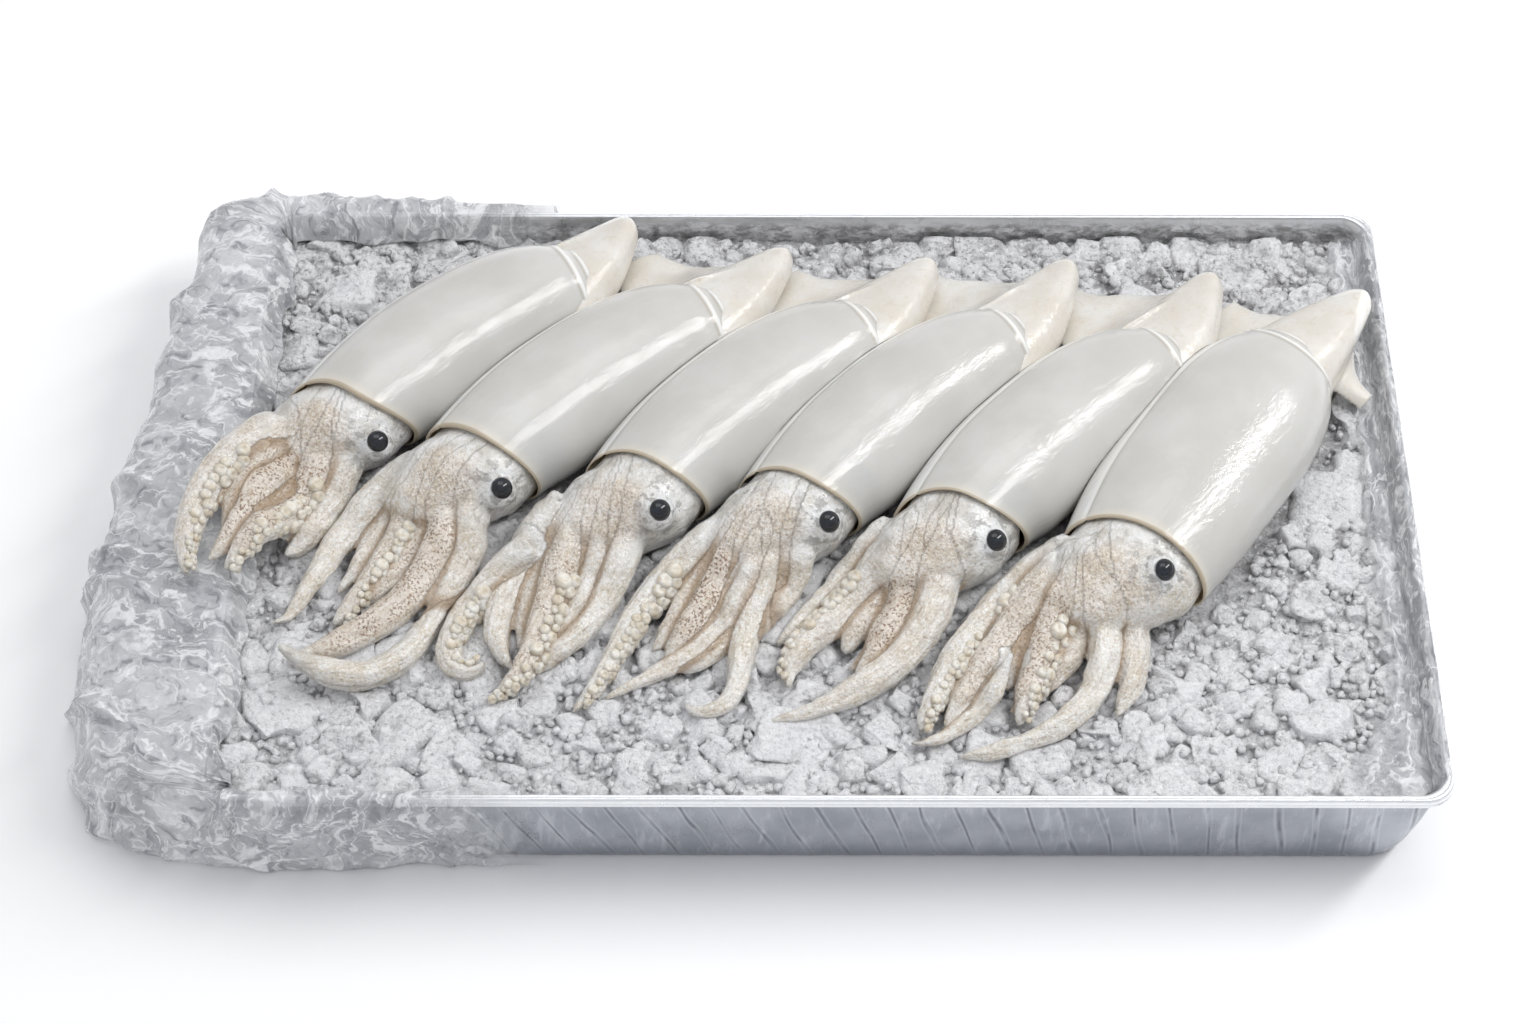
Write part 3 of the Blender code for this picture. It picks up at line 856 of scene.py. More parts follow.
def dressSkin(mesh, row, curves, freckles, seed):
    # stores where each point of the skin lies along and across the arms and how much painted
    # shade it gets between neighbouring arms, and raises long folds and small lumps
    tree = kdtree.KDTree(sum(len(c[0]) for c in curves))
    labels = []
    for number, (points, _) in enumerate(curves):
        for i, point in enumerate(points):
            tree.insert(point * mm, len(labels))
            labels.append((number, i))
    tree.balance()
    points, normals = readPoints(mesh), readNormals(mesh)
    count = len(points)
    store = {key: np.zeros(count) for key in ("alongArm", "acrossArm", "shadeBetweenArms", "freckle", "eyeNear")}
    eyes = [eyeCentre(row, -1), eyeCentre(row, 1)]
    headAxis = beforeCollar(row, 21, 2)
    crown = Vector((headAxis.x, headAxis.y, 80)) * mm
    for i in range(count):
        point = Vector(points[i])
        found = tree.find_n(point, 24)
        number, step = labels[found[0][1]]
        path, halves = curves[number]
        ahead = path[min(step + 1, len(path) - 1)] - path[max(step - 1, 0)]
        left = Vector((-ahead.y, ahead.x, 0)).normalized()
        offset = point / mm - path[step]
        around = math.atan2(offset.z, offset.dot(left))
        nearest = found[0][2] / mm - halves[step]
        other = min([f[2] / mm - curves[labels[f[1]][0]][1][labels[f[1]][1]]
                     for f in found if labels[f[1]][0] != number] or [9.0])
        share = step / (len(path) - 1)
        armShare = ease(0.02, 0.22, share) * (1 - ease(1.5, 4.5, nearest))
        store["alongArm"][i] = step * 0.0014
        store["acrossArm"][i] = around * halves[step] * mm + number * 0.05
        # painted shade where two arms lie close together
        store["shadeBetweenArms"][i] = (1 - ease(0.2, 2.6, other - nearest)) * armShare
        store["eyeNear"][i] = min((point - eye).length for eye in eyes)
        top = ease(-0.2, 0.75, math.sin(around))
        crownShare = 1 - ease(0.010, 0.024, (point - crown).length)
        store["freckle"][i] = max(freckles[number] * top * (1 - ease(0.75, 1.0, share)) * armShare,
                                  0.45 * crownShare)
        streak = noise.noise(Vector((store["alongArm"][i] * 90, store["acrossArm"][i] * 420, seed)))
        lump = noise.noise(point / 0.006 + Vector((seed, 0, 0)))
        fold = noise.noise(point / 0.014 + Vector((0, seed, 0)))
        raised = streak * 0.0008 * armShare + lump * 0.0005 + fold * 0.0007
        points[i] += normals[i] * raised
    writePoints(mesh, points)
    for key, values in store.items():
        addAttribute(mesh, key, values)


def keepOff(mesh, trees, gap):
    # moves points that lie inside another body out to its surface
    points = readPoints(mesh)
    for tree in trees:
        for i, point in enumerate(points):
            spot, normal, _, distance = tree.find_nearest(Vector(point), 0.012)
            if spot is not None and (Vector(point) - spot).dot(normal) < gap:
                points[i] = spot + normal * gap
    writePoints(mesh, points)


# ------------------------------------------------ suckers

sucker = {"size": 3.7, "dimple": 0.35, "squash": 0.85, "sizeSpread": 0.25, "step": 4.3,
          "rows": (-4, 30, 62), "jitter": 16}


def makeSuckerTree(material):
    tree = bpy.data.node_groups.new("suckers", "GeometryNodeTree")
    for name, kind in (("Geometry", "NodeSocketGeometry"), ("Dimple depth", "NodeSocketFloat"),
                       ("Squash", "NodeSocketFloat"), ("Size spread", "NodeSocketFloat")):
        tree.interface.new_socket(name, in_out="INPUT", socket_type=kind)
    tree.interface.new_socket("Geometry", in_out="OUTPUT", socket_type="NodeSocketGeometry")
    maker = NodeMaker(tree)
    source = maker.add("NodeGroupInput")
    ball = maker.add("GeometryNodeMeshIcoSphere", {"Radius": 1.0, "Subdivisions": 3})
    place = maker.add("GeometryNodeInputPosition").outputs[0]
    parts = maker.add("ShaderNodeSeparateXYZ", {0: place})
    flat = maker.vector("LENGTH", maker.vector("MULTIPLY", place, (1, 1, 0)))
    hollow = maker.range(flat, 0.58, 0.1)
    sunk = maker.math("MULTIPLY", hollow, source.outputs["Dimple depth"])
    facing = maker.math("GREATER_THAN", parts.outputs["Z"], 0.0)
    height = maker.math("SUBTRACT", maker.math("MULTIPLY", parts.outputs["Z"],
                                               source.outputs["Squash"]),
                        maker.math("MULTIPLY", sunk, facing))
    cupPlace = maker.add("ShaderNodeCombineXYZ", {
        "X": parts.outputs["X"], "Y": parts.outputs["Y"], "Z": height,
    })
    cup = maker.add("GeometryNodeSetPosition", {
        "Geometry": ball.outputs["Mesh"], "Position": cupPlace.outputs[0],
    })
    facingWay = maker.add("GeometryNodeInputNamedAttribute", data_type="FLOAT_VECTOR")
    facingWay.inputs["Name"].default_value = "facing"
    size = maker.add("GeometryNodeInputNamedAttribute", data_type="FLOAT")
    size.inputs["Name"].default_value = "size"
    turn = maker.add("FunctionNodeAlignRotationToVector", {
        "Vector": facingWay.outputs["Attribute"],
    }, axis="Z")
    spread = maker.add("FunctionNodeRandomValue", {"Seed": 11}, data_type="FLOAT")
    low = maker.math("SUBTRACT", 1.0, source.outputs["Size spread"])
    high = maker.math("ADD", 1.0, source.outputs["Size spread"])
    floats = [s for s in spread.inputs if s.type == "VALUE"]
    maker.feed(floats[0], low)
    maker.feed(floats[1], high)
    chance = [s for s in spread.outputs if s.type == "VALUE"][0]
    scale = maker.math("MULTIPLY", size.outputs["Attribute"], chance)
    copies = maker.add("GeometryNodeInstanceOnPoints", {
        "Points": source.outputs["Geometry"], "Instance": cup.outputs[0],
        "Rotation": turn.outputs[0], "Scale": scale,
    })
    real = maker.add("GeometryNodeRealizeInstances", {"Geometry": copies.outputs[0]})
    smooth = maker.add("GeometryNodeSetShadeSmooth", {"Geometry": real.outputs[0]})
    finish = maker.add("GeometryNodeSetMaterial", {
        "Geometry": smooth.outputs[0], "Material": material,
    })
    maker.add("NodeGroupOutput", {0: finish.outputs[0]})
    return tree


def suckerSpots(curves, sides, seed):
    # uneven rows of spots on the shown side of each arm that has suckers
    places, facings, sizes = [], [], []
    for (points, halves), side in zip(curves, sides):
        if side == 0:
            continue
        since, last = 0.0, len(points) - 1
        for i in range(1, last):
            share = i / last
            since += (points[i] - points[i - 1]).length
            if share < 0.30 or share > 0.97 or since < sucker["step"] * (1.15 - 0.55 * share):
                continue
            since = 0.0
            ahead = (points[i + 1] - points[i - 1]).normalized()
            right = Vector((ahead.y, -ahead.x, 0)).normalized()
            for row, rise in enumerate(sucker["rows"]):
                chance = noise.noise(Vector((i * 1.7, row * 2.3, seed * 3.1)))
                if chance > 0.25:
                    continue
                raised = math.radians(rise + sucker["jitter"] * chance)
                out = right * side * math.cos(raised) + Vector((0, 0, math.sin(raised)))
                shift = ahead * sucker["step"] * (row % 2 * 0.5 + 0.5 * chance)
                places.append((points[i] + shift + out * halves[i] * 0.92) * mm)
                facings.append(out)
                sizes.append(sucker["size"] * (1.05 - 0.62 * share) * (1 + 0.3 * chance) * mm)
    return places, facings, sizes


# ------------------------------------------------ flesh materials

def wetShader(shader, roughness, scatter, coat):
    shader.inputs["Roughness"].default_value = roughness
    shader.inputs["IOR"].default_value = 1.4
    shader.inputs["Subsurface Weight"].default_value = scatter
    shader.inputs["Subsurface Radius"].default_value = (1.0, 0.82, 0.62)
    shader.inputs["Subsurface Scale"].default_value = 0.004
    shader.inputs["Coat Weight"].default_value = coat
    shader.inputs["Coat Roughness"].default_value = 0.12
    shader.inputs["Coat IOR"].default_value = 1.35


def mantleMaterial():
    material, maker, shader, place = startMaterial("wet mantle")
    behind, inside = maker.attribute("behind"), maker.attribute("inside")
    flank, toEnd = maker.attribute("flank"), maker.attribute("toEnd")
    cloud = maker.noise(place, 0.030, 3)
    colour = maker.mix(maker.range(cloud, 0.35, 0.68), (0.575, 0.558, 0.522, 1), (0.625, 0.612, 0.585, 1))
    # painted shade: the lower right flank is darkened
    flankShade = maker.range(flank, 0.2, -0.75)
    colour = maker.mix(maker.math("MULTIPLY", flankShade, 0.3), colour, (0.52, 0.525, 0.51, 1))
    hem = maker.range(flank, 0.945, 0.952)
    # painted shade: a thin brown contact line in the groove along the flank
    groove = maker.math("MULTIPLY", maker.range(flank, 0.930, 0.938),
                        maker.range(flank, 0.949, 0.941))
    colour = maker.mix(maker.math("MULTIPLY", groove, 0.55), colour, (0.40, 0.36, 0.30, 1))
    colour = maker.mix(maker.math("MULTIPLY", hem, 0.8), colour, (0.86, 0.85, 0.82, 1))
    # pale lips with a thin brown line before each
    for lip, _ in body["lips"]:
        line = maker.math("MULTIPLY", maker.range(toEnd, lip + 0.0028, lip + 0.0018),
                          maker.range(toEnd, lip + 0.0008, lip + 0.0016))
        crest = maker.math("MULTIPLY", maker.range(toEnd, lip + 0.0014, lip + 0.0004),
                           maker.range(toEnd, lip - 0.0016, lip - 0.0006))
        colour = maker.mix(maker.math("MULTIPLY", crest, 0.8), colour, (0.90, 0.89, 0.86, 1))
        colour = maker.mix(maker.math("MULTIPLY", line, 0.45), colour, (0.42, 0.37, 0.29, 1))
    lip = maker.range(behind, 0.0060, 0.0006)
    colour = maker.mix(maker.math("MULTIPLY", lip, 0.45), colour, (0.74, 0.68, 0.56, 1))
    edge = maker.range(behind, 0.0011, 0.0002)
    colour = maker.mix(maker.math("MULTIPLY", edge, 0.6), colour, (0.36, 0.26, 0.13, 1))
    colour = maker.mix(maker.range(inside, 0.6, 0.9), colour, (0.58, 0.51, 0.39, 1))
    maker.feed(shader.inputs["Base Color"], colour)
    wetShader(shader, 0.42, 0.30, 1.0)
    shader.inputs["Coat Roughness"].default_value = 0.045
    shader.inputs["Coat IOR"].default_value = 1.5
    # small wet ripples that run with the body and tear the edges of the gloss
    turned = maker.stretch(place, (1, 1, 1), (0, 0, -0.8))
    long = maker.stretch(turned, (0.45, 1, 1))
    ripples = maker.noise(long, 0.0045, 4, 0.55, 0.6)
    fine = maker.noise(long, 0.0011, 3, 0.6, 0.4)
    torn = maker.math("ADD", ripples, maker.math("MULTIPLY", fine, 0.20))
    maker.feed(shader.inputs["Normal"], maker.bump(ripples, 0.00010, 0.8))
    maker.feed(shader.inputs["Coat Normal"], maker.bump(torn, 0.00044, 1.0))
    return material


def tailMaterial():
    material, maker, shader, place = startMaterial("wet tail")
    cloud = maker.noise(place, 0.018, 3)
    fibre = maker.noise(maker.stretch(place, (1, 1, 1)), 0.004, 4, 0.6, 1.2)
    colour = maker.mix(maker.range(cloud, 0.35, 0.7), (0.69, 0.645, 0.575, 1), (0.76, 0.735, 0.69, 1))
    colour = maker.mix(maker.range(fibre, 0.52, 0.70, 0, 0.4), colour, (0.60, 0.52, 0.42, 1))
    rim = maker.range(maker.attribute("rimNear"), 0.0030, 0.0012)
    colour = maker.mix(maker.math("MULTIPLY", rim, 0.7), colour, (0.90, 0.88, 0.85, 1))
    maker.feed(shader.inputs["Base Color"], colour)
    wetShader(shader, 0.38, 0.30, 1.0)
    shader.inputs["Coat Roughness"].default_value = 0.06
    shader.inputs["Coat IOR"].default_value = 1.5
    relief = maker.math("ADD", fibre, maker.math("MULTIPLY", maker.noise(place, 0.0012, 2), 0.2))
    maker.feed(shader.inputs["Normal"], maker.bump(relief, 0.00025, 0.9))
    maker.feed(shader.inputs["Coat Normal"], maker.bump(relief, 0.0004, 1.0))
    return material


def skinMaterial():
    material, maker, shader, place = startMaterial("wet head and arm skin")
    along, across = maker.attribute("alongArm"), maker.attribute("acrossArm")
    shadeBetweenArms, freckle = maker.attribute("shadeBetweenArms"), maker.attribute("freckle")
    eyeNear = maker.attribute("eyeNear")
    warp = maker.math("MULTIPLY", maker.noise(place, 0.007, 3), 0.0035)
    flow = maker.add("ShaderNodeCombineXYZ", {
        "X": maker.math("MULTIPLY", along, 0.22), "Y": maker.math("ADD", across, warp),
    })
    onArm = maker.range(along, 0.004, 0.020)
    streak = maker.noise(flow.outputs[0], 0.0012, 4, 0.62)
    cloud = maker.noise(place, 0.011, 4, 0.6)
    colour = maker.mix(maker.range(cloud, 0.32, 0.66), (0.70, 0.63, 0.52, 1), (0.86, 0.83, 0.78, 1))
    pale = maker.math("MULTIPLY", maker.range(streak, 0.50, 0.66, 0, 0.75), onArm)
    colour = maker.mix(pale, colour, (0.93, 0.92, 0.89, 1))
    dull = maker.math("MULTIPLY", maker.range(streak, 0.45, 0.30, 0, 0.6), onArm)
    colour = maker.mix(dull, colour, (0.50, 0.40, 0.28, 1))
    # fine grain, white on brown
    grain = maker.noise(place, 0.0013, 3, 0.7)
    colour = maker.mix(maker.range(grain, 0.51, 0.64, 0, 0.75), colour, (0.97, 0.96, 0.94, 1))
    colour = maker.mix(maker.range(grain, 0.45, 0.33, 0, 0.5), colour, (0.46, 0.36, 0.25, 1))
    # the head's sides are smooth, pale and half clear
    bare = maker.math("MULTIPLY", maker.range(along, 0.022, 0.006), maker.range(freckle, 0.40, 0.10))
    clear = maker.mix(maker.range(cloud, 0.36, 0.60), (0.62, 0.595, 0.55, 1), (0.88, 0.875, 0.86, 1))
    colour = maker.mix(maker.math("MULTIPLY", bare, 0.80), colour, clear)
    # grey, half clear patches round the eyes, over a paler bulge
    halo = maker.range(eyeNear, 0.0115, 0.0065)
    halo = maker.math("MULTIPLY", halo, maker.range(maker.noise(place, 0.007, 2), 0.36, 0.52))
    colour = maker.mix(maker.math("MULTIPLY", halo, 0.8), colour, (0.86, 0.87, 0.87, 1))
    patch = maker.math("MULTIPLY", maker.range(eyeNear, 0.022, 0.009),
                       maker.range(maker.noise(place, 0.0045, 3, 0.6), 0.50, 0.60))
    colour = maker.mix(maker.math("MULTIPLY", patch, 0.75), colour, (0.36, 0.35, 0.335, 1))
    # freckles
    dots = maker.range(maker.noise(place, 0.0011, 2, 0.5), 0.52, 0.60)
    bunch = maker.range(maker.noise(place, 0.008, 2), 0.30, 0.52)
    spots = maker.math("MULTIPLY", maker.math("MULTIPLY", dots, bunch), freckle)
    colour = maker.mix(maker.math("MULTIPLY", freckle, 0.42), colour, (0.70, 0.56, 0.43, 1))
    colour = maker.mix(maker.math("MULTIPLY", spots, 0.9), colour, (0.24, 0.135, 0.075, 1))
    # painted shade in the gaps between the arms
    colour = maker.mix(maker.math("MULTIPLY", shadeBetweenArms, 0.75), colour, (0.40, 0.27, 0.155, 1))
    maker.feed(shader.inputs["Base Color"], colour)
    wetShader(shader, 0.38, 0.22, 1.0)
    shader.inputs["Coat Roughness"].default_value = 0.06
    shader.inputs["Coat IOR"].default_value = 1.45
    relief = maker.math("ADD", maker.math("MULTIPLY", streak, 0.7),
                        maker.math("MULTIPLY", maker.noise(place, 0.0019, 3, 0.65), 1.4))
    maker.feed(shader.inputs["Normal"], maker.bump(relief, 0.0011, 1.0))
    wet = maker.math("ADD", maker.math("MULTIPLY", streak, 0.6), maker.noise(place, 0.0035, 3, 0.5))
    maker.feed(shader.inputs["Coat Normal"], maker.bump(wet, 0.0008, 1.0))
    return material


def suckerMaterial():
    material, maker, shader, place = startMaterial("sucker")
    cloud = maker.noise(place, 0.004, 3)
    colour = maker.mix(maker.range(cloud, 0.35, 0.65), (0.64, 0.56, 0.44, 1), (0.83, 0.79, 0.71, 1))
    maker.feed(shader.inputs["Base Color"], colour)
    grain = maker.noise(place, 0.0012, 3, 0.6)
    wetShader(shader, 0.36, 0.3, 0.5)
    maker.feed(shader.inputs["Normal"], maker.bump(grain, 0.0006, 1.0))
    return material


def eyeMaterial():
    material, maker, shader, place = startMaterial("eye")
    facing = maker.attribute("facing")
    ring = maker.noise(place, 0.0016, 3)
    silver = maker.mix(maker.range(ring, 0.4, 0.6), (0.30, 0.31, 0.32, 1), (0.62, 0.63, 0.63, 1))
    dark = maker.mix(maker.range(ring, 0.45, 0.65), (0.003, 0.004, 0.006, 1), (0.010, 0.016, 0.028, 1))
    colour = maker.mix(maker.range(facing, 0.30, 0.42), silver, dark)
    maker.feed(shader.inputs["Base Color"], colour)
    shader.inputs["Roughness"].default_value = 0.22
    shader.inputs["Specular IOR Level"].default_value = 0.3
    shader.inputs["Coat Weight"].default_value = 0.7
    shader.inputs["Coat Roughness"].default_value = 0.03
    return material


def makeEyes(row, number, material):
    meshes = []
    for side in (-1, 1):
        facing = eyeFacing(row, side)
        mesh = makeBall("eye", eyeCentre(row, side), head["eyeRadius"] * mm, detail=4)
        values = [(v.co - eyeCentre(row, side)).normalized().dot(facing) for v in mesh.vertices]
        meshes.append((mesh, values))
    joined = joinMeshes("eyes", [m for m, v in meshes])
    addAttribute(joined, "facing", [x for m, v in meshes for x in v])
    makePiece("eyes_%d" % number, joined, material, "squid_%d" % number)


def makeSquid():
    flesh, tailFlesh, skin = mantleMaterial(), tailMaterial(), skinMaterial()
    cup, eye = suckerMaterial(), eyeMaterial()
    suckerTree = makeSuckerTree(cup)
    mantles = [makeMantleMesh(row) for row in squidRows]
    for number, mesh in enumerate(mantles):
        softenMantle(mesh, squidRows[number]["length"] * mm, number * 7.3)
    for number in range(len(mantles) - 2, -1, -1):
        pressAgainst(mantles[number], mantles[number + 1], body["gap"] * mm)
    shells = [BVHTree.FromPolygons([v.co for v in m.vertices], [p.vertices for p in m.polygons])
              for m in mantles]
    for index, row in enumerate(squidRows):
        number = index + 1
        node = "squid_%d" % number
        makePiece("mantle_%d" % number, mantles[index], flesh, node)
        parts, edges = [makeTailMesh(row)], []
        for side, key in ((1, "leftFin"), (-1, "rightFin")):
            if key in row:
                parts.append(makeFinMesh(row, side, row[key]))
                edges += finEdge(row, side, row[key])
        tailMesh = meltTogether(joinMeshes("tail", parts), tail["grain"], 4)
        near = [shells[k] for k in (index - 1, index + 1) if 0 <= k < len(shells)]
        keepOff(tailMesh, near, body["gap"] * mm)
        markRims(tailMesh, edges)
        makePiece("tail_%d" % number, tailMesh, tailFlesh, node)
        arms = armRows[index]
        arms = list(arms) + innerArms(arms)
        curves = [armCurve(row, a) for a in arms]
        parts = [makeArmMesh(c[0], c[1], number * 10 + k) for k, c in enumerate(curves)]
        parts.append(makeHeadMesh(row))
        for side in (-1, 1):
            centre = eyeCentre(row, side) - eyeFacing(row, side) * head["bulgeBehind"] * mm
            parts.append(makeBall("bulge", centre, head["bulge"] * mm))
        skinMesh = meltTogether(joinMeshes("arms", parts), head["grain"], 3)
        dressSkin(skinMesh, row, curves, [a[8] for a in arms], number * 3.1)
        keepOff(skinMesh, near, body["gap"] * mm)
        makePiece("head_and_arms_%d" % number, skinMesh, skin, node)
        makeEyes(row, number, eye)
        places, facings, sizes = suckerSpots(curves, [a[9] for a in arms], number)
        if places:
            spots = makeMesh("spots", places, [])
            layer = spots.attributes.new("facing", "FLOAT_VECTOR", "POINT")
            layer.data.foreach_set("vector", np.array(facings, np.float32).ravel())
            addAttribute(spots, "size", sizes)
            cups = bakeNodes(spots, suckerTree, {
                "Dimple depth": sucker["dimple"], "Squash": sucker["squash"],
                "Size spread": sucker["sizeSpread"],
            })
            makePiece("suckers_%d" % number, cups, cup, node)
        print("squid", number, "made")
    return shells


shells = makeSquid()

tray = {
    "draft": 0.0077,
    "beadWidth": 0.0035,
    "beadHeight": 0.0056,
    "wall": 0.0012,
    "rimRadius": 0.012,
    "baseRadius": 0.018,
    "station": 0.0016,
    "pleat": 0.0075,
    "pleatDepth": 0.0015,
    "crinkle": 0.0010,
}

# ------------------------------------------------ crushed ice

ice = {
    "cell": 0.0021,
    "inset": 0.0012,
    "coreTop": 0.0441,
    "relief": 0.0026,
    "lump": 0.017,
}
iceKinds = (
    dict(name="blocks", sizes=(0.0085, 0.0170), spacing=0.0165, tries=5000, sink=0.0022,
         squash=0.46, roughing=0.62, detail=3, topLimit=0.0485),
    dict(name="lumps", sizes=(0.0034, 0.0075), spacing=0.0082, tries=9000, sink=0.0004,
         squash=0.70, roughing=0.60, detail=2, topLimit=0.0495),
    dict(name="chips", sizes=(0.0011, 0.0030), spacing=0.0033, tries=16000, sink=-0.0012,
         squash=0.80, roughing=0.60, detail=1, topLimit=0.0498),
)


def iceCoreHeight(x, y):
    spot = Vector((x, y, 0))
    distances, corners = noise.voronoi((spot + Vector((ripple(spot, 0.012), ripple(spot, 0.012, 5), 0))
                                        * 0.003) / ice["lump"])
    dome = 1 - min(1.0, distances[0] ** 2 * 3.2)
    each = noise.noise(corners[0] * 3.1) * 0.4
    small = noise.noise(spot / 0.0045) * 0.35 + noise.noise(spot / 0.0022) * 0.16
    return ice["coreTop"] + ice["relief"] * (dome + each + small - 0.4)


def makeIceCore(material, shells):
    # a lumpy surface, lowered under the squid, on walls that follow the tray
    low, high = iceLow, iceHigh
    columns = round((high.x - low.x) / ice["cell"])
    lines = round((high.y - low.y) / ice["cell"])
    corner = 0.017
    centre = (low + high) / 2
    halfX, halfY = (high.x - low.x) / 2, (high.y - low.y) / 2
    points, openness = [], []
    for j in range(lines + 1):
        for i in range(columns + 1):
            u, v = 2 * i / columns - 1, 2 * j / lines - 1
            x, y = u * halfX, v * halfY
            # the corners are drawn in to the tray's rounded corners
            overX = max(0.0, abs(x) - (halfX - corner))
            overY = max(0.0, abs(y) - (halfY - corner))
            reach = math.hypot(overX, overY)
            if overX > 0 and overY > 0:
                share = max(overX, overY) / reach
                x = math.copysign(halfX - corner + overX * share, x)
                y = math.copysign(halfY - corner + overY * share, y)
            x, y = x + centre.x, y + centre.y
            top = iceCoreHeight(x, y)
            roof = 1.0
            for shell in shells:
                hit = shell.ray_cast(Vector((x, y, 0.0)), Vector((0, 0, 1)))[0]
                if hit is not None:
                    roof = min(roof, hit.z)
            top = min(top, roof - 0.0012)
            points.append((x, y, top))
            openness.append(0.0 if roof < 0.2 else 1.0)
    faces = []
    across = columns + 1
    for j in range(lines):
        for i in range(columns):
            a = j * across + i
            faces.append((a, a + 1, a + across + 1, a + across))
    rim = [i for i in range(across)]
    rim += [j * across + columns for j in range(1, lines + 1)]
    rim += [lines * across + i for i in range(columns - 1, -1, -1)]
    rim += [j * across for j in range(lines - 1, 0, -1)]
    start = len(points)
    for index in rim:
        x, y, _ = points[index]
        points.append((x * 0.964, y * 0.945, low.z))
        openness.append(0.0)
    for k, index in enumerate(rim):
        after = (k + 1) % len(rim)
        faces.append((rim[after], index, start + k, start + after))
    points.append((centre.x, centre.y, low.z))
    openness.append(0.0)
    for k in range(len(rim)):
        faces.append((start + (k + 1) % len(rim), start + k, len(points) - 1))
    mesh = faceOutward(makeMesh("ice core", points, faces))
    addAttribute(mesh, "open", openness[:len(mesh.vertices)])
    makePiece("ice_core", mesh, material, "ice")
    return mesh


def makeIceTree(name, material, squash, detail):
    # irregular lumps on points: every copy is made real before it is roughened,
    # so no two are alike
    tree = bpy.data.node_groups.new(name, "GeometryNodeTree")
    for label, kind in (("Geometry", "NodeSocketGeometry"), ("Smallest", "NodeSocketFloat"),
                        ("Largest", "NodeSocketFloat"), ("Roughing", "NodeSocketFloat"),
                        ("Lump size", "NodeSocketFloat"), ("Top limit", "NodeSocketFloat")):
        tree.interface.new_socket(label, in_out="INPUT", socket_type=kind)
    tree.interface.new_socket("Geometry", in_out="OUTPUT", socket_type="NodeSocketGeometry")
    maker = NodeMaker(tree)
    source = maker.add("NodeGroupInput")
    # a cube with softened edges, whose edges and corners are marked
    cube = maker.add("GeometryNodeMeshCube", {"Size": (1.7, 1.7, 1.7)})
    soft = maker.add("GeometryNodeSubdivisionSurface", {
        "Mesh": cube.outputs["Mesh"], "Level": detail, "Edge Crease": 0.42,
    })
    reach = maker.vector("LENGTH", maker.add("GeometryNodeInputPosition").outputs[0])
    chunk = maker.add("GeometryNodeStoreNamedAttribute", {
        "Geometry": soft.outputs[0], "Name": "rim", "Value": maker.range(reach, 0.82, 1.05),
    }, data_type="FLOAT", domain="POINT")
    chance = maker.add("FunctionNodeRandomValue", {"Seed": 4}, data_type="FLOAT")
    low, high = [s for s in chance.inputs if s.type == "VALUE"][:2]
    maker.feed(low, 0.0)
    maker.feed(high, 1.0)
    draw = [s for s in chance.outputs if s.type == "VALUE"][0]
    skewed = maker.math("POWER", draw, 1.6)
    radius = maker.range(skewed, 0, 1, source.outputs["Smallest"], source.outputs["Largest"], False)
    stretch = maker.add("FunctionNodeRandomValue", {"Seed": 9}, data_type="FLOAT_VECTOR")
    least, most = [s for s in stretch.inputs if s.type == "VECTOR"][:2]
    maker.feed(least, (0.75, 0.7, squash - 0.12))
    maker.feed(most, (1.3, 1.15, squash + 0.14))
    scale = maker.vector("SCALE", [s for s in stretch.outputs if s.type == "VECTOR"][0])
    scale.node.inputs["Scale"].default_value = 1.0
    maker.feed(scale.node.inputs["Scale"], radius)
    turn = maker.add("FunctionNodeRandomValue", {"Seed": 21}, data_type="FLOAT_VECTOR")
    least, most = [s for s in turn.inputs if s.type == "VECTOR"][:2]
    maker.feed(least, (-0.5, -0.5, 0.0))
    maker.feed(most, (0.5, 0.5, 6.283))
    copies = maker.add("GeometryNodeInstanceOnPoints", {
        "Points": source.outputs["Geometry"], "Instance": chunk.outputs[0],
        "Rotation": [s for s in turn.outputs if s.type == "VECTOR"][0], "Scale": scale,
    })
    shade = maker.add("FunctionNodeRandomValue", {"Seed": 33}, data_type="FLOAT")
    tone = maker.add("GeometryNodeStoreNamedAttribute", {
        "Geometry": copies.outputs[0], "Name": "tone",
        "Value": [s for s in shade.outputs if s.type == "VALUE"][0],
    }, data_type="FLOAT", domain="INSTANCE")
    real = maker.add("GeometryNodeRealizeInstances", {"Geometry": tone.outputs[0]})
    place = maker.add("GeometryNodeInputPosition").outputs[0]
    normal = maker.add("GeometryNodeInputNormal").outputs[0]
    scaled = maker.vector("SCALE", place)
    scaled.node.inputs["Scale"].default_value = 1.0
    inverse = maker.math("DIVIDE", 1.0, source.outputs["Lump size"])
    maker.feed(scaled.node.inputs["Scale"], inverse)
    # the whole chunk is skewed by a slow noise, and its skin pitted by a fine one
    slow = maker.add("ShaderNodeTexNoise", {"Vector": scaled, "Scale": 0.75, "Detail": 1.0})
    skew = maker.vector("SUBTRACT", slow.outputs["Color"], (0.5, 0.5, 0.5))
    pits = maker.math("MULTIPLY", maker.math("SUBTRACT", maker.noise(scaled, 0.35, 3, 0.6), 0.5), 0.28)
    offset = maker.vector("ADD", maker.vector("MULTIPLY", skew, (2.2, 2.2, 1.2)),
                          maker.vector("MULTIPLY", normal, maker.add(
                              "ShaderNodeCombineXYZ", {"X": pits, "Y": pits, "Z": pits}).outputs[0]))
    depth = maker.math("MULTIPLY", source.outputs["Roughing"], source.outputs["Lump size"])
    offset = maker.vector("SCALE", offset)
    maker.feed(offset.node.inputs["Scale"], depth)
    rough = maker.add("GeometryNodeSetPosition", {"Geometry": real.outputs[0], "Offset": offset})
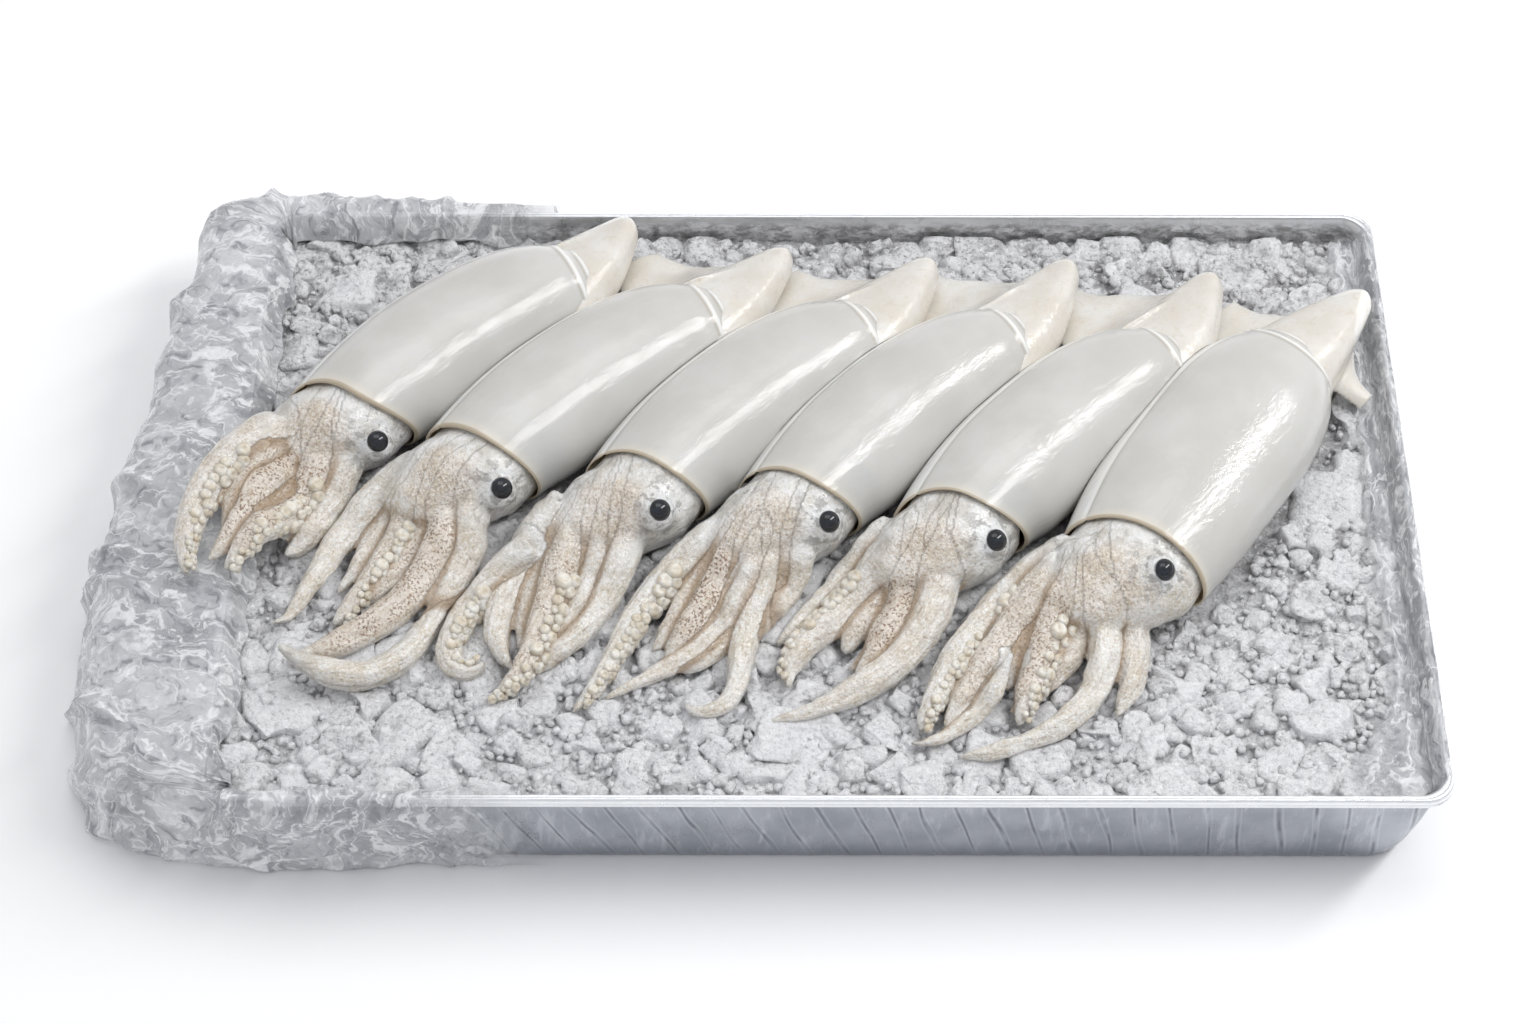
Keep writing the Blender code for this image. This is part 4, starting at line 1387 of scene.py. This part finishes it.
    # tops stay under the limit: what rises past it is pressed back
    parts = maker.add("ShaderNodeSeparateXYZ", {0: maker.add("GeometryNodeInputPosition").outputs[0]})
    over = maker.math("MAXIMUM", maker.math("SUBTRACT", parts.outputs["Z"],
                                            source.outputs["Top limit"]), 0.0)
    press = maker.add("ShaderNodeCombineXYZ", {"Z": maker.math("MULTIPLY", over, -0.8)})
    capped = maker.add("GeometryNodeSetPosition", {
        "Geometry": rough.outputs[0], "Offset": press.outputs[0],
    })
    smooth = maker.add("GeometryNodeSetShadeSmooth", {"Geometry": capped.outputs[0]})
    finish = maker.add("GeometryNodeSetMaterial", {
        "Geometry": smooth.outputs[0], "Material": material,
    })
    maker.add("NodeGroupOutput", {0: finish.outputs[0]})
    return tree


def scatterSpots(shells, spacing, count, sink, seed):
    # places on the open ice, each at least a spacing from the others
    chance = np.random.default_rng(seed)
    grid, spots = {}, []
    margin = 0.004
    for _ in range(count):
        x = chance.uniform(iceLow.x + margin, iceHigh.x - margin)
        y = chance.uniform(iceLow.y + margin, iceHigh.y - margin)
        cell = (int(x // spacing), int(y // spacing))
        crowd = [q for i in (-1, 0, 1) for j in (-1, 0, 1)
                 for q in grid.get((cell[0] + i, cell[1] + j), ())]
        if any(math.hypot(x - q[0], y - q[1]) < spacing for q in crowd):
            continue
        blocked = False
        for shell in shells:
            for dx, dy in ((0, 0), (spacing, 0), (-spacing, 0), (0, spacing), (0, -spacing)):
                way = Vector((x + dx * 0.7, y + dy * 0.7, 0.0))
                if shell.ray_cast(way, Vector((0, 0, 1)))[0] is not None:
                    blocked = True
        if blocked:
            continue
        grid.setdefault(cell, []).append((x, y))
        spots.append((x, y, iceCoreHeight(x, y) - sink))
    return spots


def iceMaterial():
    material, maker, shader, place = startMaterial("frosty ice")
    tone, rim = maker.attribute("tone"), maker.attribute("rim")
    frost = maker.noise(place, 0.0075, 5, 0.68, 0.6)
    grain = maker.noise(place, 0.00115, 3, 0.72)
    # cloudier towards the front, clearer and darker at the back
    parts = maker.add("ShaderNodeSeparateXYZ", {0: place})
    drift = maker.math("MULTIPLY", maker.noise(place, 0.055, 2), 0.5)
    cloudy = maker.math("ADD", drift, maker.range(parts.outputs["Y"], 0.15, -0.12, 0, 0.62, False))
    level = maker.math("ADD", maker.math("MULTIPLY", tone, 0.40), maker.math("MULTIPLY", frost, 0.95))
    level = maker.math("ADD", level, maker.math("MULTIPLY", cloudy, 0.6))
    crumb = maker.noise(place, 0.0026, 5, 0.75, 0.3)
    colour = maker.mix(maker.range(level, 0.62, 1.25), (0.40, 0.395, 0.40, 1), (0.93, 0.93, 0.95, 1))
    colour = maker.mix(maker.math("MULTIPLY", rim, 0.75), colour, (0.99, 0.99, 1.0, 1))
    dull = maker.math("MULTIPLY", maker.range(crumb, 0.49, 0.36), maker.range(level, 1.35, 0.75, 0.22, 0.85))
    colour = maker.mix(dull, colour, (0.24, 0.235, 0.235, 1))
    colour = maker.mix(maker.range(crumb, 0.52, 0.62, 0, 0.85), colour, (0.99, 0.99, 1.0, 1))
    colour = maker.mix(maker.range(grain, 0.44, 0.34, 0, 0.4), colour, (0.30, 0.30, 0.305, 1))
    maker.feed(shader.inputs["Base Color"], colour)
    maker.feed(shader.inputs["Roughness"], maker.range(frost, 0.3, 0.7, 0.12, 0.45, False))
    shader.inputs["IOR"].default_value = 1.31
    shader.inputs["Specular IOR Level"].default_value = 0.8
    relief = maker.math("ADD", maker.math("MULTIPLY", frost, 1.0), maker.math("MULTIPLY", crumb, 1.2))
    maker.feed(shader.inputs["Normal"], maker.bump(relief, 0.0016, 1.0))
    # meltwater over it
    shader.inputs["Coat Weight"].default_value = 0.9
    shader.inputs["Coat Roughness"].default_value = 0.05
    shader.inputs["Coat IOR"].default_value = 1.4
    maker.feed(shader.inputs["Coat Normal"], maker.bump(crumb, 0.0014, 1.0))
    return material


def keepInTray(mesh):
    # nothing passes the tray's sloping inner wall or its rounded corners
    points = readPoints(mesh)
    slope = tray["draft"] / rimTop
    inset = slope * (rimTop - points[:, 2]) + 0.0056
    for axis, half in ((0, trayHigh.x), (1, trayHigh.y)):
        points[:, axis] = np.clip(points[:, axis], inset - half, half - inset)
    corner = tray["rimRadius"]
    overX = np.abs(points[:, 0]) - (trayHigh.x - inset - corner)
    overY = np.abs(points[:, 1]) - (trayHigh.y - inset - corner)
    reach = np.hypot(overX, overY)
    out = (overX > 0) & (overY > 0) & (reach > corner)
    pull = np.where(out, 1 - corner / np.maximum(reach, corner), 0)
    points[:, 0] -= np.sign(points[:, 0]) * overX * pull
    points[:, 1] -= np.sign(points[:, 1]) * overY * pull
    writePoints(mesh, points)


def makeIce(shells):
    material = iceMaterial()
    makeIceCore(material, shells)
    for number, kind in enumerate(iceKinds):
        tree = makeIceTree("ice " + kind["name"], material, kind["squash"], kind["detail"])
        tries = kind["tries"] // 1
        spots = scatterSpots(shells, kind["spacing"], tries, kind["sink"], 5 + number)
        copies = bakeNodes(makeMesh("spots", spots, []), tree, {
            "Smallest": kind["sizes"][0], "Largest": kind["sizes"][1],
            "Roughing": kind["roughing"], "Lump size": kind["sizes"][1] * 0.6,
            "Top limit": kind["topLimit"],
        })
        keepInTray(copies)
        makePiece("ice_" + kind["name"], copies, material, "ice")
        print("ice", kind["name"], len(spots), "copies", len(copies.polygons), "faces")


makeIce(shells)

# ------------------------------------------------ foil tray

def roundedRoute(halfX, halfY, radius, count):
    # points of a rounded rectangle and the ways out from it, anticlockwise
    spots, outs = [], []
    straightX, straightY = 2 * (halfX - radius), 2 * (halfY - radius)
    arc = math.pi / 2 * radius
    whole = 2 * (straightX + straightY) + 4 * arc
    sides = ((halfX, -halfY + radius, 0, 1, straightY, 0), (halfX - radius, halfY, -1, 0, straightX, 90),
             (-halfX, halfY - radius, 0, -1, straightY, 180), (-halfX + radius, -halfY, 1, 0, straightX, 270))
    for i in range(count):
        travel = whole * i / count
        for x, y, wayX, wayY, length, turn in sides:
            if travel < length:
                angle = math.radians(turn)
                spots.append(Vector((x + wayX * travel, y + wayY * travel)))
                outs.append(Vector((math.cos(angle), math.sin(angle))))
                break
            travel -= length
            if travel < arc:
                angle = math.radians(turn) + travel / radius
                end = Vector((x + wayX * length, y + wayY * length))
                inner = Vector((math.cos(math.radians(turn)), math.sin(math.radians(turn))))
                out = Vector((math.cos(angle), math.sin(angle)))
                spots.append(end - inner * radius + out * radius)
                outs.append(out)
                break
            travel -= arc
    return spots, outs


def trayProfile():
    # (distance in from the outer edge, height, how much the foil is pleated there,
    # whether it is the outer wall, how dark a painted shade line runs there)
    top, bead, wide, wall = rimTop, tray["beadHeight"], tray["beadWidth"], tray["wall"]
    slope = tray["draft"] / top
    rows = []
    foot = 0.0035
    under = top - bead
    wallIn = wide - wall
    for k in range(5):
        turn = math.pi / 2 * k / 4
        rows.append((wallIn + slope * top + foot * (1 - math.sin(turn)), foot * (1 - math.cos(turn)), 0.2, 1, 0))
    for k in range(1, 15):
        z = between((foot, under), k / 14)
        rows.append((wallIn + slope * (top - z), z, math.sin(math.pi * k / 14) ** 0.5, 1, 0))
    edge = bead / 2
    for k in range(1, 16):
        turn = math.pi * k / 16 - math.pi / 2
        # a groove round the middle parts the bead in two
        groove = 0.0009 * math.exp(-((turn + 0.1) / 0.16) ** 2)
        rows.append((1.4 * mm * (1 - math.cos(turn)) + groove, under + edge + edge * math.sin(turn),
                     0, 1, 1 if k == 8 else 0))
    rows.append((0.0016, top, 0, 0, 0))
    rows.append((0.0019, top - 0.0004, 0, 0, 0.8))
    rows.append((0.0022, top - 0.0001, 0, 0, 0))
    rows.append((wide - 0.0004, top - 0.0001, 0, 0, 0))
    rows.append((wide, top - 0.0006, 0, 0, 0.9))
    rows.append((wide + 0.0003, top - 0.0012, 0, 0, 0))
    for k in range(1, 13):
        z = between((top - 0.0014, wall + foot), k / 12)
        rows.append((wide + slope * (top - z) + 0.0003, z, 0.8 * math.sin(math.pi * k / 12), 0, 0))
    rows.append((wide + slope * top + foot * 0.4, wall + foot * 0.3, 0, 0, 0))
    rows.append((wide + slope * top + foot, wall, 0, 0, 0))
    return rows


def makePleatTree():
    # pushes the foil in and out in upright pleats of uneven width
    tree = bpy.data.node_groups.new("foil pleats", "GeometryNodeTree")
    for label, kind in (("Geometry", "NodeSocketGeometry"), ("Pleat width", "NodeSocketFloat"),
                        ("Pleat depth", "NodeSocketFloat"), ("Crinkle depth", "NodeSocketFloat"),
                        ("Material", "NodeSocketMaterial")):
        tree.interface.new_socket(label, in_out="INPUT", socket_type=kind)
    tree.interface.new_socket("Geometry", in_out="OUTPUT", socket_type="NodeSocketGeometry")
    maker = NodeMaker(tree)
    source = maker.add("NodeGroupInput")
    around = maker.add("GeometryNodeInputNamedAttribute", data_type="FLOAT")
    around.inputs["Name"].default_value = "around"
    amount = maker.add("GeometryNodeInputNamedAttribute", data_type="FLOAT")
    amount.inputs["Name"].default_value = "pleated"
    parts = maker.add("ShaderNodeSeparateXYZ", {0: maker.add("GeometryNodeInputPosition").outputs[0]})
    count = maker.math("DIVIDE", around.outputs["Attribute"], source.outputs["Pleat width"])
    lean = maker.math("MULTIPLY", parts.outputs["Z"], 6.0)
    spot = maker.add("ShaderNodeCombineXYZ", {"X": maker.math("ADD", count, lean)})
    ridges = maker.noise(spot.outputs[0], 1.0, 2, 0.5)
    deep = maker.math("MULTIPLY", maker.math("SUBTRACT", ridges, 0.5), source.outputs["Pleat depth"])
    crush = maker.noise(maker.add("GeometryNodeInputPosition").outputs[0], 0.016, 4, 0.6, 0.8)
    dents = maker.math("MULTIPLY", maker.math("SUBTRACT", crush, 0.5), source.outputs["Crinkle depth"])
    push = maker.math("MULTIPLY", maker.math("ADD", maker.math("MULTIPLY", deep, 2.0), dents),
                      amount.outputs["Attribute"])
    offset = maker.vector("SCALE", maker.add("GeometryNodeInputNormal").outputs[0])
    maker.feed(offset.node.inputs["Scale"], push)
    moved = maker.add("GeometryNodeSetPosition", {"Geometry": source.outputs["Geometry"],
                                                  "Offset": offset})
    real = maker.add("GeometryNodeRealizeInstances", {"Geometry": moved.outputs[0]})
    finish = maker.add("GeometryNodeSetMaterial", {
        "Geometry": real.outputs[0], "Material": source.outputs["Material"],
    })
    maker.add("NodeGroupOutput", {0: finish.outputs[0]})
    return tree


def foilMaterial():
    material, maker, shader, place = startMaterial("silver foil")
    pleated, outer = maker.attribute("pleated"), maker.attribute("outer")
    height = maker.add("ShaderNodeSeparateXYZ", {0: place}).outputs["Z"]
    cloud = maker.noise(place, 0.03, 3)
    wall = maker.mix(maker.range(cloud, 0.3, 0.7), (0.36, 0.38, 0.42, 1), (0.50, 0.52, 0.57, 1))
    upright = maker.noise(maker.stretch(place, (1, 1, 0.12)), 0.005, 4, 0.6, 0.3)
    wall = maker.mix(maker.range(upright, 0.52, 0.70, 0, 0.55), wall, (0.68, 0.70, 0.74, 1))
    # painted light and shade: thin slanting pleat lines, a painted highlight beside each painted shade line
    shift = maker.math("MULTIPLY", maker.noise(maker.stretch(place, (1, 1, 0.15)), 0.030, 2), 0.014)
    travel = maker.math("ADD", maker.attribute("around"),
                        maker.math("ADD", maker.math("MULTIPLY", height, 0.16), shift))
    cut = maker.math("ABSOLUTE", maker.math("SUBTRACT", maker.math(
        "FRACT", maker.math("DIVIDE", travel, 0.0145)), 0.5))
    faint = maker.math("MULTIPLY", maker.range(maker.noise(place, 0.02, 2), 0.35, 0.6), outer)
    dark = maker.math("MULTIPLY", maker.range(cut, 0.055, 0.015), maker.math("MULTIPLY", faint, 0.75))
    pleatHighlight = maker.math("MULTIPLY", maker.range(cut, 0.055, 0.085), maker.range(cut, 0.13, 0.10))
    pleatHighlight = maker.math("MULTIPLY", pleatHighlight, maker.math("MULTIPLY", outer, 0.3))
    wall = maker.mix(pleatHighlight, wall, (0.75, 0.77, 0.81, 1))
    wall = maker.mix(dark, wall, (0.16, 0.17, 0.20, 1))
    # painted shade: the outer wall darkens towards the table
    wall = maker.mix(maker.range(height, 0.018, 0.0, 0, 0.75), wall, (0.21, 0.225, 0.26, 1))
    # a painted reflection of the ice on the inner wall, in a crumbled grey
    iceReflection = maker.noise(maker.stretch(place, (1, 1, 2)), 0.006, 5, 0.7, 0.5)
    inner = maker.mix(maker.range(iceReflection, 0.38, 0.62), (0.34, 0.335, 0.335, 1), (0.80, 0.80, 0.81, 1))
    wall = maker.mix(outer, inner, wall)
    colour = maker.mix(maker.range(pleated, 0.0, 0.25), (0.90, 0.91, 0.925, 1), wall)
    # painted shade: dark lines in the bead's groove and in the dips of the rim
    colour = maker.mix(maker.math("MULTIPLY", maker.attribute("line"), 0.85), colour, (0.30, 0.31, 0.34, 1))
    maker.feed(shader.inputs["Base Color"], colour)
    shader.inputs["Metallic"].default_value = 0.75
    fine = maker.noise(maker.stretch(place, (1, 1, 0.3)), 0.006, 4, 0.6)
    maker.feed(shader.inputs["Roughness"], maker.range(fine, 0.3, 0.7, 0.24, 0.42, False))
    maker.feed(shader.inputs["Normal"], maker.bump(fine, 0.0009, 0.7))
    return material


def makeTray():
    halfX, halfY = trayHigh.x, trayHigh.y
    whole = 4 * (halfX + halfY)
    count = round(whole / tray["station"])
    profile = trayProfile()
    rings, around, pleated, outer, line = [], [], [], [], []
    for inset, z, amount, outside, dark in profile:
        radius = between((tray["baseRadius"], tray["rimRadius"]), z / rimTop)
        spots, _ = roundedRoute(halfX - inset, halfY - inset, radius, count)
        rings.append([Vector((p.x, p.y, z)) for p in spots])
        around += [whole * i / count for i in range(count)]
        pleated += [amount] * count
        outer += [outside] * count
        line += [dark] * count
    mesh = loftMesh("tray", rings, Vector((0, 0, 0)), Vector((0, 0, tray["wall"])))
    addAttribute(mesh, "around", around + [0, 0])
    addAttribute(mesh, "pleated", pleated + [0, 0])
    addAttribute(mesh, "outer", outer + [1, 0])
    addAttribute(mesh, "line", line + [0, 0])
    foil = foilMaterial()
    baked = bakeNodes(faceOutward(mesh), makePleatTree(), {
        "Pleat width": tray["pleat"], "Pleat depth": tray["pleatDepth"],
        "Crinkle depth": tray["crinkle"], "Material": foil,
    })
    makePiece("foil_tray", baked, foil, "tray")
    print("tray made")


makeTray()

# ------------------------------------------------ clear film

film = {
    "feet": ((-110, 161), (-165, 168), (-222, 173), (-280, 172), (-291, 125), (-299, 70),
             (-310, 14), (-315, -40), (-313, -96), (-295, -139), (-235, -154), (-165, -153),
             (-110, -152)),
    "topGap": 0.0008,
    "thickness": 0.0005,
    "clearOfBead": 0.0030,
    "stations": 520,
    "across": 76,
    "inside": 0.0075,
    "insideDrop": 0.0105,
    "cornerShare": 4,
    "creases": (0.0046, 0.0026, 0.0010),
}


def filmRoute(share):
    # a point on the tray's rim and the way out, from the back edge round the
    # left end to the front edge
    halfX, halfY, radius = trayHigh.x, trayHigh.y, tray["rimRadius"]
    back = filmReach + halfX - radius
    arc = math.pi / 2 * radius * film["cornerShare"]
    side = 2 * (halfY - radius)
    travel = share * (2 * back + 2 * arc + side)
    if travel < back:
        return Vector((filmReach - travel, halfY)), Vector((0, 1))
    travel -= back
    if travel < arc:
        angle = math.pi / 2 * (1 + travel / arc)
        out = Vector((math.cos(angle), math.sin(angle)))
        return Vector((-halfX + radius, halfY - radius)) + out * radius, out
    travel -= arc
    if travel < side:
        return Vector((-halfX, halfY - radius - travel)), Vector((-1, 0))
    travel -= side
    if travel < arc:
        angle = math.pi / 2 * (2 + travel / arc)
        out = Vector((math.cos(angle), math.sin(angle)))
        return Vector((-halfX + radius, -halfY + radius)) + out * radius, out
    travel -= arc
    return Vector((-halfX + radius + travel, -halfY)), Vector((0, -1))


def smoothCurve(points, share):
    spot = share * (len(points) - 1)
    first = min(int(spot), len(points) - 2)
    t = spot - first
    last = len(points) - 1
    a, b, c, d = (Vector(points[min(max(first + k, 0), last)]) for k in (-1, 0, 1, 2))
    return 0.5 * (2 * b + (c - a) * t + (2 * a - 5 * b + 4 * c - d) * t ** 2
                  + (3 * b - a - 3 * c + d) * t ** 3)


def filmProfile(rim, out, foot, share):
    # the film's line at a station, from inside the tray over the rim to the table
    ragged = noise.noise(Vector((share * 17, 0, 3))) + 0.6 * noise.noise(Vector((share * 49, 0, 7)))
    top = rimTop + film["topGap"] + film["thickness"]
    bead = rim + out * film["clearOfBead"]
    spread = foot - bead
    slack = spread if spread.dot(out) > 0 else Vector((0, 0))
    inner = rim - out * (tray["beadWidth"] + film["inside"] * (1 + 0.9 * ragged))
    return [
        (*inner, top - film["insideDrop"] * (1 + 0.15 * ragged)),
        (*(rim - out * (tray["beadWidth"] + 0.0012)), top - 0.0012),
        (*(rim - out * 0.0015), top + 0.0006),
        (*(bead - out * 0.0012 + slack * 0.35), top + 0.0006),
        (*(bead + slack * 0.75), top - 0.0065),
        (*(bead.lerp(foot, 0.50) + slack * 0.40), rimTop * 0.55),
        (*(bead.lerp(foot, 0.88) + slack * 0.10), rimTop * 0.20),
        (*foot, 0.0008),
    ]


def creaseField(along, across):
    # ridge heights from 0 to 1: long folds that run slanting over the film,
    # crossed by others, and small crinkles
    warp = noise.noise(Vector((along * 9, across * 9, 2))) * 0.020
    bend = noise.noise(Vector((along * 5, across * 4, 8)))
    first = noise.noise(Vector(((along + across * (0.6 + bend) + warp) / 0.034, across / 0.16, 0)))
    second = noise.noise(Vector(((along - across * 0.8 - warp) / 0.052, across / 0.13, 5)))
    third = noise.noise(Vector(((along + across * 0.4 + warp) / 0.016, across / 0.06, 11)))
    return [1 - min(1.0, abs(value) * 3.0) for value in (first, second, third)]


def makeFilm(material):
    feet = [Vector(f) * mm for f in film["feet"]]
    stations, across = film["stations"], film["across"]
    points, folds, run = [], [], 0.0
    before = None
    for i in range(stations):
        share = i / (stations - 1)
        rim, out = filmRoute(share)
        foot = smoothCurve(feet, share)
        run += (foot - before).length if before is not None else 0.0
        before = foot
        line = filmProfile(rim, out, foot, share)
        down, last = 0.0, None
        for k in range(across):
            spot = smoothCurve(line, k / (across - 1))
            down += (spot - last).length if last is not None else 0.0
            last = spot
            points.append(spot)
            folds.append((share, k / (across - 1), run, down))
    faces = []
    for i in range(stations - 1):
        for k in range(across - 1):
            a = i * across + k
            faces.append((a, a + 1, a + across + 1, a + across))
    mesh = makeMesh("film", points, faces)
    base, normals = readPoints(mesh), readNormals(mesh)
    if normals[across // 2 + across * (stations // 2)][2] < 0:
        normals = -normals
    ridges = []
    for i, (share, t, along, down) in enumerate(folds):
        ridge = creaseField(along, down)
        offRim = max(ease(0.38, 0.60, t), 0.4 * (1 - ease(0.08, 0.20, t)))
        ends = ease(0.0, 0.12, share) * ease(1.0, 0.78, share)
        loose = (0.10 + 0.90 * offRim) * (0.22 + 0.78 * ends)
        height = sum((r ** 1.3 - 0.3) * c for r, c in zip(ridge, film["creases"])) * loose
        base[i] += normals[i] * max(height, -0.0002 if t < 0.4 else -0.003)
        base[i][2] = max(base[i][2], 0.0007)
        ridges.append(max(ridge[0], ridge[1] * 0.95, ridge[2] * 0.8))
    writePoints(mesh, base)
    addAttribute(mesh, "ridge", ridges)
    addAttribute(mesh, "along", [f[2] for f in folds])
    addAttribute(mesh, "down", [f[3] for f in folds])
    addAttribute(mesh, "fade", [ease(0, 0.07, f[0]) * ease(1, 0.90, f[0]) for f in folds])
    solid = bakeModifiers(mesh, [("SOLIDIFY", {"thickness": film["thickness"] * 0.6, "offset": -1})])
    makePiece("clear_film", faceOutward(solid), material, "film")
    print("film made")


def filmMaterial():
    material, maker, shader, place = startMaterial("crinkled clear film")
    ridge = maker.attribute("ridge")
    flow = maker.add("ShaderNodeCombineXYZ", {
        "X": maker.attribute("along"), "Y": maker.math("MULTIPLY", maker.attribute("down"), 0.4),
    })
    warp = maker.add("ShaderNodeTexNoise", {"Vector": place, "Scale": 45.0, "Detail": 3.0})
    bent = maker.vector("SCALE", warp.outputs["Color"])
    bent.node.inputs["Scale"].default_value = 0.030
    slant = maker.vector("ADD", maker.stretch(flow.outputs[0], (1, 1, 1), (0, 0, 0.5)), bent)
    streaks = maker.noise(slant, 0.006, 4, 0.62, 0.7)
    cloud = maker.noise(place, 0.024, 3, 0.55)
    # painted light and shade: flat facets between sharp crinkles, each painted a little lighter or darker
    facets = maker.cells(slant, 0.013, output="Color")
    small = maker.cells(slant, 0.0055, output="Color")
    lines = maker.cells(slant, 0.013, "DISTANCE_TO_EDGE")
    colour = maker.mix(maker.range(cloud, 0.36, 0.66), (0.46, 0.47, 0.49, 1), (0.80, 0.81, 0.83, 1))
    colour = maker.mix(maker.range(facets, 0.2, 0.8, 0, 0.35), colour, (0.97, 0.975, 0.98, 1))
    colour = maker.mix(maker.range(small, 0.6, 1.0, 0, 0.35), colour, (0.45, 0.46, 0.48, 1))
    # painted highlights along the light streaks and painted shade along the dark ones
    colour = maker.mix(maker.range(streaks, 0.53, 0.60), colour, (0.99, 0.99, 1.0, 1))
    colour = maker.mix(maker.range(streaks, 0.47, 0.34, 0, 0.85), colour, (0.24, 0.25, 0.27, 1))
    # painted highlights along the crinkles' ridges and the cell edges, broken up by noise
    broken = maker.range(maker.noise(place, 0.012, 3, 0.6), 0.42, 0.58)
    edge = maker.math("MAXIMUM", maker.math("MULTIPLY", maker.range(ridge, 0.93, 0.99), 0.8),
                      maker.math("MULTIPLY", maker.range(lines, 0.05, 0.0), 0.7))
    edge = maker.math("MULTIPLY", edge, broken)
    colour = maker.mix(edge, colour, (0.99, 0.99, 0.995, 1))
    maker.feed(shader.inputs["Base Color"], colour)
    shader.inputs["Roughness"].default_value = 0.14
    shader.inputs["IOR"].default_value = 1.5
    shader.inputs["Specular IOR Level"].default_value = 0.9
    facing = maker.add("ShaderNodeLayerWeight", {"Blend": 0.35}).outputs["Facing"]
    # the film is made less clear along the painted ridge highlights and the painted light and dark streaks
    veil = maker.math("ADD", maker.range(facing, 0.1, 0.9, 0.38, 0.80, False),
                      maker.math("MULTIPLY", edge, 0.25))
    veil = maker.math("ADD", veil, maker.range(streaks, 0.5, 0.75, 0, 0.2))
    veil = maker.math("ADD", veil, maker.range(streaks, 0.46, 0.34, 0, 0.25), clamp=True)
    maker.feed(shader.inputs["Alpha"], maker.math("MULTIPLY", veil, maker.attribute("fade")))
    relief = maker.math("ADD", streaks, maker.math("MULTIPLY", maker.cells(slant, 0.013), 0.9))
    maker.feed(shader.inputs["Normal"], maker.bump(relief, 0.0016, 0.8))
    return material


# the strip of the same film that lines the tray's right wall
liner = {"reach": 0.010, "cornerReach": 0.034, "stations": 260,
         "across": 40, "ridge": 0.0011}


def makeLiner(material):
    points, marks = [], []
    halfY = trayHigh.y - tray["beadWidth"] - 0.003
    stations, across = liner["stations"], liner["across"]
    for i in range(stations):
        share = i / (stations - 1)
        y = between((-halfY, halfY), share)
        fromCorner = y + halfY
        ragged = noise.noise(Vector((y / 0.03, 2, 0))) + 0.5 * noise.noise(Vector((y / 0.008, 7, 0)))
        reach = liner["reach"] * (1 + 0.5 * ragged)
        reach += (liner["cornerReach"] - liner["reach"]) * (1 - ease(0.004, 0.055, fromCorner))
        wallX = trayHigh.x - tray["beadWidth"]
        line = [(trayHigh.x - 0.0014, y, rimTop + 0.0006), (wallX - 0.0012, y, rimTop + 0.0002),
                (wallX - 0.0040, y, 0.0515), (wallX - 0.0065, y, 0.0492),
                (wallX - 0.0065 - reach * 0.5, y, 0.0498), (wallX - 0.0065 - reach, y, 0.0488)]
        for k in range(across):
            t = k / (across - 1)
            spot = smoothCurve(line, t)
            corner = Vector((spot.x - wallX, spot.y + halfY))
            turn = math.atan2(corner.y + 0.001, -corner.x + 0.001)
            near = 1 - ease(0.0, 0.06, corner.length)
            rays = 1 - min(1.0, abs(noise.noise(Vector((turn * 5, 1, 4)))) * 3.5)
            wave = ripple((0, y, 0), 0.06) * 0.25
            lengthwise = 1 - min(1.0, abs(noise.noise(Vector((t * 6 + wave, y / 0.09, 9)))) * 3.5)
            ridge = between((lengthwise, rays), near)
            spot.z += liner["ridge"] * ridge * (0.35 + 0.65 * t)
            points.append(spot)
            marks.append((ridge, t * 0.05, y, ease(1.0, 0.80, t) * ease(0, 0.03, share)
                          * ease(1, 0.97, share)))
    faces = []
    for i in range(stations - 1):
        for k in range(across - 1):
            a = i * across + k
            faces.append((a, a + 1, a + across + 1, a + across))
    mesh = makeMesh("liner", points, faces)
    for number, name in enumerate(("ridge", "along", "down", "fade")):
        addAttribute(mesh, name, [m[number] for m in marks])
    solid = bakeModifiers(mesh, [("SOLIDIFY", {"thickness": film["thickness"] * 0.6, "offset": 1})])
    makePiece("film_liner", faceOutward(solid), material, None)


clearFilm = filmMaterial()
makeFilm(clearFilm)
makeLiner(clearFilm)
